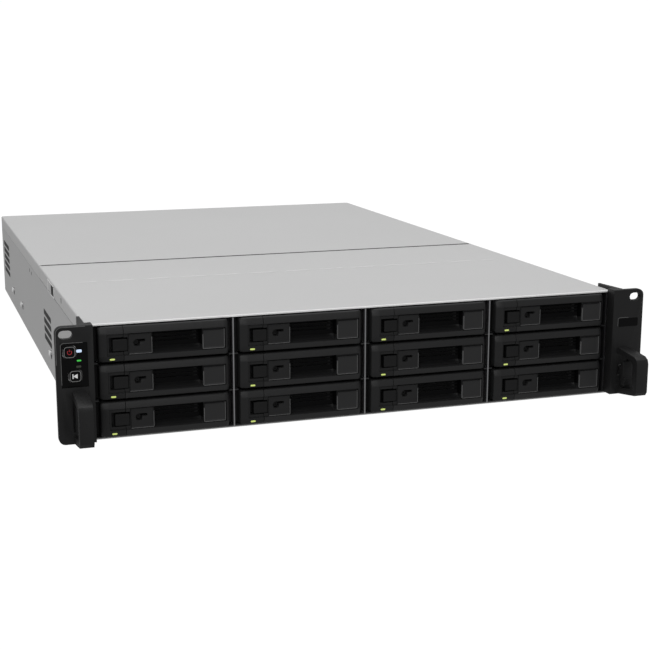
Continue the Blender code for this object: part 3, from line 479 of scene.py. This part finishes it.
# A light plastic for fine edges in the recess: painted highlight.
RECESS_EDGE_HIGHLIGHT = moulded("painted_edge_highlight", (0.11, 0.11, 0.111), (0.14, 0.14, 0.141), 2600, (0.3, 0.4))
CARRIER = moulded("carrier_plastic", (0.004, 0.004, 0.0042), (0.007, 0.007, 0.0073), 1800,
                  (0.5, 0.65))

HALF_W, HALF_H, FACE, BACK = 49.4, 13.3, -4.5, 4.5
PIVOT = HALF_W - BACK
SPLIT = -30.5
RECESS = (-42.9, 46.1, -8.4, 7.7)
PLATE_END, PAD_START = -9.4, 28.8
WELL = (-41.2, -27.4, -5.9, 4.9)
SLOTS = ((-0.9, 1.0), (2.0, 3.9), (4.9, 6.8))
GRIP = (-7.6, 22.6)
PAD = (28.9, 45.2, -7.7, 6.4)
LOCK = (-27.0, -9.7, -7.9, 7.0)
LOCK_X, LOCK_Z = -20.8, 0.3


def within(x, z, box, edge=0.5):
    """1 inside a box, 0 outside, with a smooth step of the given width at each side."""
    left, right, low, high = box
    step = lambda gap: smooth(gap / edge + 0.5)
    return step(x - left) * step(right - x) * step(z - low) * step(high - z)


def bezel_face(x, z):
    """Depth of the moulded front in millimetres. The frame leans back towards its rim, which is
    rounded by a quarter circle, the right end is half a cylinder, and the recess, grip and
    louvres are smooth steps in."""
    y = -np.sqrt(BACK ** 2 - np.clip(x - PIVOT, 0, BACK - 0.02) ** 2)
    y = (y + 1.9 * np.clip((z - 7.9) / 5.4, 0, 1) ** 1.2
         + 1.4 * np.clip((-8.6 - z) / 4.7, 0, 1) ** 1.2)
    y = y + 1.3 * np.clip((-43.2 - x) / 6.2, 0, 1) ** 1.5
    corner, roll = 2.2, 1.0
    reach = np.stack([np.abs(x) - HALF_W + corner, np.abs(z) - HALF_H + corner])
    rim = -(np.hypot(*np.maximum(reach, 0)) + np.minimum(reach.max(0), 0) - corner)
    left_only = np.where(x < PIVOT, 1.0, 0.6)
    y = y + left_only * (roll - np.sqrt(np.maximum(
        roll ** 2 - np.clip(roll - rim, 0, roll) ** 2, 0)))
    y = np.where(rim < -0.02, 3.6, y)
    inset = within(x, z, RECESS, 0.4)
    y = y + 1.7 * inset - 1.2 * within(x, z, PAD, 0.5) - 0.35 * within(x, z, LOCK, 0.4)
    bead = lambda box: within(x, z, box, 0.3) - within(
        x, z, (box[0] + 0.45, box[1] - 0.45, box[2] + 0.45, box[3] - 0.45), 0.3)
    y = y - 0.45 * bead(PAD) - 0.45 * bead(LOCK)
    sunk = within(x, z, (PLATE_END, PAD_START - 0.4, RECESS[2] + 0.3, RECESS[3] - 0.1), 0.5)
    rise = np.clip((-3.0 - z) / 5.2, 0, 1)
    ramp = np.clip((x - 26.0) / 2.4, 0, 1)
    floor = 6.2 * np.sqrt(np.clip(1 - rise ** 2, 0, 1)) * np.sqrt(np.clip(1 - ramp ** 2, 0, 1))
    y = y + sunk * floor
    for low, high in SLOTS:
        y = y + 1.6 * within(x, z, (GRIP[0], GRIP[1], low, high), 0.5)
    slit = (within(x, z, (LOCK_X, -14.7, 1.1, 2.7), 0.3) + 1
            - smooth((np.hypot(x - LOCK_X, z - LOCK_Z) - 2.1) / 0.5))
    y = y + 2.6 * np.minimum(slit, 1)
    return np.minimum(y, BACK - 0.35)


def bezel_lines(left, right):
    """Grid lines across and up the bezel, closer at every step in its face."""
    rims = [HALF_W - 0.15, HALF_W - 0.5, PIVOT + 3.2, PIVOT + 2.0]
    across = [RECESS[0], RECESS[1], WELL[0], WELL[1], PLATE_END, PAD_START, GRIP[0], GRIP[1],
              PIVOT - 2, -23.0, -22.0, -20.8, -19.6, -18.6, -14.7, -43.4, -HALF_W + 0.5,
              PAD[1], LOCK[0], LOCK[1]]
    up = [RECESS[2], RECESS[3], WELL[2], WELL[3], HALF_H - 0.5, -HALF_H + 0.5,
          -2.4, -0.7, 1.1, 2.55, PAD[2], PAD[3]]
    up += [z for slot in SLOTS for z in slot]
    xs = lines(left, right, 2.0, [v for v in across if left + 0.3 < v < right - 0.3], 0.5)
    xs = np.unique(np.round(np.concatenate([xs, [v for v in rims if left < v < right]]), 3))
    return xs, lines(-HALF_H, HALF_H, 1.1, up, 0.5)


def bezel_part(left, right, well_open):
    """The front as a closed shell over a plain back. On the lever the button's well is a notch,
    the louvres go right through, and the rounded end is slotted at mid height for the arm that
    holds the pin."""
    xs, zs = bezel_lines(left, right)
    X, Z = np.meshgrid(xs, zs, indexing="ij")
    near = bezel_face(X, Z)
    far = np.sqrt(BACK ** 2 - np.clip(X - PIVOT, 0, BACK - 0.02) ** 2)
    mx, mz = (X[:-1, :-1] + X[1:, 1:]) / 2, (Z[:-1, :-1] + Z[1:, 1:]) / 2
    keep = np.ones(mx.shape, bool)
    if well_open:
        keep &= ~((mx < WELL[1]) & (mz > WELL[2]) & (mz < WELL[3]))
        slot = (X > PIVOT - 2) & (np.abs(Z) < 2.4)
        far = np.where(slot, np.minimum(far, -2.0), far)
        keep &= ~((mx > PIVOT + 3.7) & (np.abs(mz) < 2.6))
        keep &= ~((mx > LOCK_X) & (mx < -14.9) & (mz > 1.2) & (mz < 2.6))
        keep &= np.hypot(mx - LOCK_X, mz - LOCK_Z) > 2.1
        for low, high in SLOTS:
            keep &= ~((mx > GRIP[0] + 0.25) & (mx < GRIP[1] - 0.25)
                      & (mz > low + 0.25) & (mz < high - 0.25))
        near = np.where(slot, np.minimum(near, far - 0.3), near)
    else:
        near = near + (3.3 - near) * within(X, Z, (WELL[0], 99, WELL[2], WELL[3]), 0.4)
    return shell(np.stack([X, near, Z], -1) * MM, np.stack([X, far, Z], -1) * MM, keep)


def moved(shape, x, y, z):
    return shape[0] + (x, y, z), shape[1]


made, shader, place = start_finish("tray_lamp")
glow = speckle(place, 400)
feed(shader, "Base Color", glow.tint((0.42, 0.50, 0.12), (0.52, 0.60, 0.18)))
feed(shader, "Emission Color", glow.tint((0.50, 0.62, 0.13), (0.62, 0.74, 0.24)))
shader.inputs["Emission Strength"].default_value = 0.5
shader.inputs["Roughness"].default_value = 0.25
TRAY_LAMP = made

made, shader, place = start_finish("drive_casting", metallic=0.85)
grain = speckle(place, 1500, 3.0)
feed(shader, "Base Color", grain.tint((0.30, 0.30, 0.31), (0.46, 0.46, 0.47)))
feed(shader, "Roughness", 0.38 + grain * 0.2)
raise_grain(shader, grain, 0.00008, 0.5)
CASTING = made

fixed_shape = bezel_part(-HALF_W, SPLIT - 0.4, False)
lever_shape = bezel_part(SPLIT, HALF_W, True)
lamp_shape = block((-39.4 * MM, (FACE + 0.75) * MM, -11.0 * MM), "front",
                   (1.9 * MM, 0.7 * MM), 0.68 * MM,
                   [(0, -1.0 * MM), (0, 0.25 * MM), (0.2 * MM, 0.5 * MM), (0.5 * MM, 0.6 * MM)])
button_shape = block((-33.25 * MM, -3.0 * MM, -0.9 * MM), "front",
                     (5.45 * MM, 4.5 * MM), 0.7 * MM,
                     [(0.2 * MM, -4.0 * MM), (0, -3.8 * MM), (0, -0.35 * MM), (0.12 * MM, -0.1 * MM),
                      (0.4 * MM, 0.0), (1.6 * MM, -0.12 * MM), (4.0 * MM, -0.2 * MM)])
lock_shape = turned((LOCK_X * MM, -0.6 * MM, LOCK_Z * MM), "front",
                    [(1.9 * MM, -1.5 * MM), (1.9 * MM, -0.2 * MM), (1.7 * MM, 0.0),
                     (0.6 * MM, 0.0), (0.5 * MM, -0.6 * MM)], 20)
# The louvres stand over near black bars of painted shade that fill the grip's upper part.
louvre_shade_liner = [bar(((GRIP[0] - 1.2) * MM, (FACE + 2.2) * MM, low * MM),
             ((GRIP[1] + 2.6) * MM, (FACE + 2.5) * MM, high * MM), 0.05 * MM)
         for low, high in ((-3.4, 0.1), (1.2, 2.6), (3.9, 5.3), (6.4, 7.3))]


def zone(points):
    """Which copy of the one bezel plastic a point of the bezel's front gets: painted shade in the
    grip and louvres, painted light on the pad and along the lower rail."""
    x, y, z = points / MM
    if y > 3.0:
        return BEZEL
    if PLATE_END + 0.4 < x < PAD_START - 0.6 and RECESS[2] + 4.5 < z < RECESS[3]:
        return GRIP_SHADE
    if PAD[0] < x < PAD[1] and PAD[2] < z < PAD[3] or z < -8.6:
        return PAD_AND_RAIL_LIGHT
    return BEZEL


def zones(shape):
    """The plastic of each face, read at the middle of its corners."""
    points, faces = shape
    return [zone(middle) for middle in points[np.array(faces)].mean(1)]


def highlight_line(corners, width, front):
    """A painted highlight along straight runs in the recess: a fine light bar for each run, front deep.
    """
    bars = []
    for (x, z), (x2, z2) in zip(corners, corners[1:]):
        bars.append(bar((min(x, x2) * MM - width, (FACE + front) * MM, min(z, z2) * MM - width),
                        (max(x, x2) * MM + width, (FACE + 2.0) * MM, max(z, z2) * MM + width), 0.04 * MM))
    return bars


# Painted highlights down the pad's left side, along its foot and up its right side, and along the lock
# plate's foot and up its right side.
edges = highlight_line([(PAD[0], 3.0), (PAD[0], PAD[2]), (PAD[1], PAD[2]), (PAD[1], PAD[3])],
                 0.2 * MM, 0.0)
edges += highlight_line([(-26.6, LOCK[2]), (LOCK[1], LOCK[2]), (LOCK[1], 4.0)], 0.2 * MM, 0.8)
arm_shape = block((PIVOT * MM, 2.75 * MM, 0), "front", (1.1 * MM, 1.7 * MM), 0.5 * MM,
                  [(0, -3.2 * MM), (0, 2.2 * MM), (0.4 * MM, 2.75 * MM)])

# The carrier: a front plate with air slots, two side rails, and the drive between them.
xs = lines(-52.0, 52.0, 6.0, [-46, 46, -26, 26], 0.4)
zs = lines(-13.0, 13.0, 2.0, [-9, -6.5, -4, -1.5, 1, 3.5, 6, 8.5], 0.4)
X, Z = np.meshgrid(xs, zs, indexing="ij")
mx, mz = (X[:-1, :-1] + X[1:, 1:]) / 2, (Z[:-1, :-1] + Z[1:, 1:]) / 2
rows = (((mz > -9) & (mz < -6.5)) | ((mz > -4) & (mz < -1.5))
        | ((mz > 1) & (mz < 3.5)) | ((mz > 6) & (mz < 8.5)))
air = rows & (np.abs(mx) > 0.8) & (mx > -26) & (mx < 40)
plate_shape = shell(np.stack([X, np.full_like(X, 5.0), Z], -1) * MM,
                    np.stack([X, np.full_like(X, 6.6), Z], -1) * MM, ~air)
rail_shape = bar((-52.0 * MM, 5.5 * MM, -13.0 * MM), (-50.95 * MM, 176 * MM, 6.0 * MM), 0.2 * MM)


def drive_top(x, y):
    """Height of a disk drive's lid in millimetres: a rim, a round swelling over the platters, a
    spindle boss and a raised strip over the arm, each a smooth step of the distance from its own
    middle."""
    z = 11.9 + 0.8 * within(x, y, (-47.5, 47.5, 22.5, 164.0), 1.6)
    z = z + 0.4 * (1 - smooth((np.hypot(x, y - 72) - 45.0) / 1.6))
    z = z - 0.4 * (1 - smooth((np.hypot(x, y - 72) - 9.0) / 1.2))
    return z - 0.4 * (1 - smooth((np.hypot((x - 22) * 0.8, y - 137) - 11.0) / 1.4))


xs, ys = lines(-50.6, 50.6, 2.6, [-47.5, 47.5], 1.4), lines(20.0, 167.0, 2.6, [22.5, 164], 1.4)
X, Y = np.meshgrid(xs, ys, indexing="ij")
drive_shape = shell(np.stack([X, Y, drive_top(X, Y)], -1) * MM,
                    np.stack([X, Y, np.full_like(X, -12.8)], -1) * MM)

lever_zones = zones(lever_shape)
for row in (1, 2, 3):
    for column in (1, 2, 3, 4):
        key = f"r{row}_c{column}"
        low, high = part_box(f"lever_{key}")
        at = (high.x - HALF_W * MM, FRONT, (low.z + high.z) / 2)
        put = lambda shape: moved(shape, *at)
        piece(f"bezel_{key}", f"tray_{key}", "tray_plastic", (put(fixed_shape), BEZEL),
              (put(lamp_shape), TRAY_LAMP), replaces=[f"tray_{key}"])
        piece(f"carrier_{key}", f"tray_{key}", "tray_plastic", (put(plate_shape), CARRIER),
              (put(arm_shape), CARRIER), (put(rail_shape), CARRIER),
              (put(mirror(rail_shape)), CARRIER))
        piece(f"drive_{key}", f"tray_{key}", "fin_aluminium", (put(drive_shape), CASTING))
        piece(f"handle_{key}", f"lever_{key}", "tray_plastic", (put(lever_shape), lever_zones),
              (put(lock_shape), CARRIER), *[(put(slat), RECESS_SHADE) for slat in louvre_shade_liner],
              *[(put(line), RECESS_EDGE_HIGHLIGHT) for line in edges], replaces=[f"lever_{key}"])
        piece(f"button_{key}", f"release_{key}", "button_plastic", (put(button_shape), BUTTON),
              replaces=[f"release_{key}"])


# ------------------------------------------------------------------- rack ears
# Moulded black ears with a pull handle. Their CAD shape stays, with every edge
# eased by a small rounded bevel.

EAR = moulded("ear_plastic", (0.0098, 0.0098, 0.01), (0.0152, 0.0152, 0.0156), 2200, (0.36, 0.5))


def eased(name, node, body, width, finish):
    """A copy of a CAD piece, merged into whole faces, with its sharp edges rounded off."""
    form = bmesh.new()
    form.from_mesh(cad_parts[node].data)
    bmesh.ops.remove_doubles(form, verts=form.verts, dist=0.002 * MM)
    bmesh.ops.dissolve_limit(form, angle_limit=math.radians(0.8), verts=form.verts, edges=form.edges)
    mesh = bpy.data.meshes.new(name)
    form.to_mesh(mesh)
    form.free()
    mesh.materials.clear()
    mesh.materials.append(finish)
    mesh.shade_smooth()
    made = bpy.data.objects.new(name, mesh)
    bpy.context.scene.collection.objects.link(made)
    bevel = made.modifiers.new("eased", "BEVEL")
    bevel.width, bevel.segments = width, 2
    bevel.limit_method, bevel.angle_limit = "ANGLE", math.radians(28)
    bevel.harden_normals = True
    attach(made, body)
    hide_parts(node)
    return made


for word in ("left", "right"):
    eased(f"{word}_ear_moulding", f"{word}_ear", "chassis", 0.45 * MM, EAR)
    eased(f"{word}_rail_release", f"{word}_trigger", f"{word}_trigger", 0.4 * MM, BEZEL)

EAR_DEPTH = 11 * MM
EAR_FACE = FRONT - EAR_DEPTH


# --------------------------------------------------------------- control panel
# A gloss window with two keys, lamps beside them, and the marks on the keys.

made, shader, place = start_finish("window_gloss", specular=0.12)
haze = speckle(place, 120, 3.0)
feed(shader, "Base Color", haze.tint((0.0008, 0.0008, 0.001), (0.002, 0.002, 0.0022)))
feed(shader, "Roughness", 0.05 + haze * 0.08)
GLOSS = made


def lamp(name, dark, light, strength):
    """A lens lit from behind, a little brighter in cloudy spots."""
    made, shader, place = start_finish(name)
    cloud = speckle(place, 900)
    feed(shader, "Base Color", cloud.tint(dark, light))
    feed(shader, "Emission Color", cloud.tint(dark, light))
    shader.inputs["Emission Strength"].default_value = strength
    shader.inputs["Roughness"].default_value = 0.3
    return made


GREEN = lamp("green_lamp", (0.02, 0.30, 0.03), (0.05, 0.46, 0.06), 0.8)
WHITE = lamp("white_lamp", (0.36, 0.46, 0.62), (0.50, 0.61, 0.76), 0.8)
UNLIT = lamp("unlit_lamp", (0.03, 0.035, 0.025), (0.04, 0.045, 0.03), 0.0)
RED = lamp("red_mark", (0.20, 0.008, 0.012), (0.30, 0.012, 0.018), 0.3)
# The pale mark on the mute key is print given a faint glow: painted light.
PALE_GLOW = lamp("pale_mark_glow", (0.6, 0.6, 0.6), (0.7, 0.7, 0.7), 0.3)
GREY = lamp("grey_mark", (0.16, 0.16, 0.16), (0.2, 0.2, 0.2), 0.0)
dress("control_window", GLOSS)
# A light plastic for the rim strokes below: painted highlight.
made, shader, place = start_finish("painted_rim_highlight", specular=0.4)
feed(shader, "Base Color", speckle(place, 200).tint((0.10, 0.10, 0.10), (0.14, 0.14, 0.14)))
feed(shader, "Roughness", 0.35 + speckle(place, 900) * 0.1)
RIM_HIGHLIGHT = made


def pill(x, z, width, height, proud=0.15 * MM):
    return block((x, EAR_FACE + 0.1 * MM, z), "front", (width / 2, height / 2), height * 0.42,
                 [(0, -0.3 * MM), (0, proud * 0.6), (0.2 * MM, proud)])


piece("panel_lamps", "chassis", "window_gloss",
      (pill(-224.3 * MM, 71.6 * MM, 4.0 * MM, 2.2 * MM), WHITE),
      (pill(-224.5 * MM, 64.5 * MM, 3.2 * MM, 1.2 * MM), GREEN),
      (pill(-224.9 * MM, 60.0 * MM, 3.6 * MM, 1.6 * MM), UNLIT))


def stroke(path, width, y, height):
    """A raised line: a flat section carried along a path, its ends square to it."""
    path = np.asarray(path, float)
    run = np.gradient(path, axis=0)
    side = np.stack([-run[:, 1], run[:, 0]], -1) / np.linalg.norm(run, axis=1)[:, None] * width / 2
    corners = [(path + side, 0), (path - side, 0), (path - side, height), (path + side, height)]
    rings = np.stack([np.column_stack([at[:, 0], np.full(len(at), y - up), at[:, 1]])
                      for at, up in corners], 1)
    return loft(rings)


# Painted highlights: light strokes on the upper left rim of the window, the badge and the left ear, where
# light catches them.
def rim_line(left, bottom, top, right, corner):
    """Up the left side, round the top corner by a quarter circle, and along the top."""
    turn = np.linspace(np.pi, np.pi / 2, 7)
    round_ = np.stack([left + corner + corner * np.cos(turn), top - corner + corner * np.sin(turn)], -1)
    return np.vstack([[(left, bottom)], round_, [(right, top)]])


low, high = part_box("control_window")
highlight_strokes = [stroke(rim_line(low.x - 0.3 * MM, low.z + 2 * MM, high.z + 0.3 * MM, high.x - 3 * MM, 2.2 * MM),
                0.4 * MM, EAR_FACE + 0.05 * MM, 0.14 * MM),
         stroke(rim_line(218.4 * MM, 60 * MM, 66.8 * MM, 228 * MM, 1.5 * MM), 0.35 * MM,
                EAR_FACE - 0.15 * MM, 0.14 * MM)]
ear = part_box("left_ear")
highlight_strokes.append(stroke(rim_line(ear[0].x + 0.55 * MM, 62 * MM, ear[1].z - 0.5 * MM,
                             ear[0].x + 22 * MM, 4.6 * MM),
                    0.45 * MM, EAR_FACE - 0.02 * MM, 0.1 * MM))
piece("rim_highlights", "chassis", "window_gloss", *[(line, RIM_HIGHLIGHT) for line in highlight_strokes])

mark_foot, mark_rise = 0.12 * MM, 0.14 * MM
for name, mark in (("power_button", RED), ("mute_button", PALE_GLOW)):
    low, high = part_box(name)
    x, z = (low.x + high.x) / 2, (low.z + high.z) / 2
    half = (high.x - low.x) / 2
    cap = block((x, low.y, z), "front", (half, half), 2.8 * MM,
                [(0, -3.0 * MM), (0, -0.3 * MM), (0.15 * MM, -0.08 * MM), (0.4 * MM, 0.0),
                 (0.9 * MM, -0.02 * MM), (1.2 * MM, -0.12 * MM), (3.0 * MM, -0.14 * MM)])
    edge = rounded((half - 0.75 * MM, half - 0.75 * MM), 2.1 * MM)
    edge = np.vstack([edge, edge[:1]]) + (x, z)
    outline = stroke(edge, 0.5 * MM, low.y + 0.03 * MM, 0.08 * MM)
    if name == "power_button":
        angle = np.radians(np.linspace(125, 415, 30))
        marks = [stroke(np.stack([x + 1.5 * MM * np.cos(angle),
                                  z - 0.1 * MM + 1.5 * MM * np.sin(angle)], -1),
                        0.5 * MM, low.y + mark_foot, mark_rise),
                 stroke([(x, z + 0.3 * MM), (x, z + 1.0 * MM), (x, z + 2.0 * MM)], 0.5 * MM,
                        low.y + mark_foot, mark_rise)]
    else:
        marks = [stroke([(x - 1.8 * MM, z - 1.7 * MM), (x - 1.8 * MM, z),
                         (x - 1.8 * MM, z + 1.7 * MM)], 0.7 * MM,
                        low.y + mark_foot, mark_rise),
                 *[stroke([(x + 1.5 * MM, z + k * MM), (x - 0.9 * MM, z + 0.1 * k * MM),
                           (x - 1.1 * MM, z)], 0.6 * MM,
                          low.y + mark_foot, mark_rise) for k in (-1.4, -0.7, 0.0, 0.7, 1.4)]]
    piece(f"{name}_cap", name, "button_plastic", (cap, GLOSS), (outline, GREY),
          *[(line, mark) for line in marks], replaces=[name])


# ---------------------------------------------------------------------- badge
# A small gloss plate let into the right ear, left plain.

badge_middle = (228.0 * MM, EAR_FACE, 62.7 * MM)
badge = block(badge_middle, "front", (9.2 * MM, 3.75 * MM), 1.2 * MM,
              [(0, -0.5 * MM), (0, 0.12 * MM), (0.25 * MM, 0.3 * MM), (0.8 * MM, 0.32 * MM)])
frame_edge = block(badge_middle, "front", (9.7 * MM, 4.25 * MM), 1.7 * MM,
                   [(0, -0.4 * MM), (0, 0.1 * MM), (0.3 * MM, 0.2 * MM)])
piece("ear_badge", "chassis", "window_gloss", (badge, GLOSS), (frame_edge, BEZEL))


# ------------------------------------------------------------- inner assembly
# Fans, boards, heatsink and the rear modules, each in the finish of its kind.

FAN = moulded("fan_plastic", (0.014, 0.014, 0.015), (0.024, 0.024, 0.025), 1500)
eased("fan_frames", "fan_wall", "chassis", 0.5 * MM, FAN)
for index in (1, 2, 3, 4):
    eased(f"fan_blades_{index}", f"fan_rotor_{index}", f"fan_rotor_{index}", 0.3 * MM, FAN)

made, shader, place = start_finish("fin_metal", metallic=1.0)
drawn = streaks(place, (1, 0.01, 1), 1600)
feed(shader, "Base Color", drawn.tint((0.6, 0.61, 0.62), (0.78, 0.79, 0.8)))
feed(shader, "Roughness", 0.28 + drawn * 0.14)
FINS = made
eased("cpu_heatsink", "heatsink", "chassis", 0.15 * MM, FINS)

made, shader, place = start_finish("circuit_board")
tracks = place.make("TexBrick", {"offset": 0.35, "squash": 0.7},
                    {"Vector": place, "Scale": 260, "Mortar Size": 0.05, "Mortar Smooth": 0.2,
                     "Brick Width": 0.9, "Row Height": 0.22}, out=1)
speck = speckle(place, 500)
feed(shader, "Base Color",
     (tracks * 0.7 + speck * 0.3).tint((0.006, 0.055, 0.028), (0.02, 0.13, 0.06)))
feed(shader, "Roughness", 0.32 + speck * 0.15)
raise_grain(shader, tracks, 0.00004, 0.5)
BOARD = made
dress("backplane", BOARD)
dress("main_board", BOARD)

made, shader, place = start_finish("zinc_plate", metallic=0.9)
spangle = place.make("TexVoronoi", {}, {"Vector": place, "Scale": 180}, out=1)
grey = spangle.make("RGBToBW", {}, {0: spangle})
fine = speckle(place, 1200)
feed(shader, "Base Color", (grey * 0.5 + fine * 0.5).tint((0.36, 0.37, 0.38), (0.52, 0.53, 0.54)))
feed(shader, "Roughness", 0.3 + fine * 0.12 + grey * 0.06)
ZINC = made
eased("port_block", "rear_ports", "chassis", 0.3 * MM, ZINC)
for index in (1, 2):
    eased(f"power_module_{index}", f"power_supply_{index}", f"power_supply_{index}",
          0.35 * MM, ZINC)
    eased(f"module_latch_{index}", f"power_supply_latch_{index}", f"power_supply_latch_{index}",
          0.4 * MM, BEZEL)


# ------------------------------------------------------------ floor and lights
# A lit white dome and floor that give the object no light of their own, a dim even
# sky, and broad soft light from above and a little from the front.

made, shader, place = start_finish("dome_paper", specular=0.0)
feed(shader, "Base Color", speckle(place, 3).tint((0.02, 0.02, 0.02), (0.03, 0.03, 0.03)))
feed(shader, "Emission Color", speckle(place, 2).tint((1.0, 1.0, 1.0), (1.02, 1.02, 1.02)))
shader.inputs["Emission Strength"].default_value = 1.0
shader.inputs["Roughness"].default_value = 1.0
DOME_RADIUS = 22.0
turn, climb = np.linspace(0, 2 * np.pi, 49), np.linspace(0, np.pi / 2, 13)
reach = DOME_RADIUS * np.concatenate([[0.0, 0.3, 0.7], np.cos(climb)])
rise = np.concatenate([[0.0, 0.0, 0.0], DOME_RADIUS * np.sin(climb)]) - 0.0005
grid = np.stack([np.outer(np.cos(turn), reach), np.outer(np.sin(turn), reach),
                 np.broadcast_to(rise, (len(turn), len(rise)))], -1)
X = grid[..., 0]
n = np.arange(X.size).reshape(X.shape)
cells = np.stack([n[:-1, :-1], n[1:, :-1], n[1:, 1:], n[:-1, 1:]], -1).reshape(-1, 4)
dome_mesh = bpy.data.meshes.new("dome")
dome_mesh.from_pydata(grid.reshape(-1, 3).tolist(), [], cells.tolist())
dome_mesh.shade_smooth()
dome_mesh.materials.append(made)
dome = bpy.data.objects.new("dome", dome_mesh)
dome.visible_diffuse = dome.visible_glossy = dome.visible_shadow = False
bpy.context.scene.collection.objects.link(dome)

world = bpy.data.worlds.new("studio")
bpy.context.scene.world = world
world.use_nodes = True
world.node_tree.nodes["Background"].inputs["Color"].default_value = (1, 1, 1, 1)
world.node_tree.nodes["Background"].inputs["Strength"].default_value = 0.42


def softbox(name, place, target, size, power):
    light = bpy.data.lights.new(name, "AREA")
    light.shape, light.size, light.size_y, light.energy = "RECTANGLE", size[0], size[1], power
    made = bpy.data.objects.new(name, light)
    made.location = place
    aim = Vector(target) - Vector(place)
    made.rotation_euler = aim.to_track_quat("-Z", "Y").to_euler()
    bpy.context.scene.collection.objects.link(made)


softbox("top_light", (0.0, 0.2, 2.4), (0, 0, 0), (3.0, 3.0), 42)
softbox("front_light", (-0.8, -2.4, 1.6), (0, 0, 0.05), (2.4, 1.2), 22)

view = bpy.data.cameras.new("camera")
view.lens, view.sensor_width = 72.6, 36.0
view.shift_x, view.shift_y = 0.0118, 0.0135
camera = bpy.data.objects.new("camera", view)
camera.location = (-0.3519, FRONT - 0.9377, 0.2877)
camera.rotation_euler = (math.radians(77.53), 0, math.radians(-18.42))
bpy.context.scene.collection.objects.link(camera)
bpy.context.scene.camera = camera
bpy.context.scene.view_settings.view_transform = "Standard"
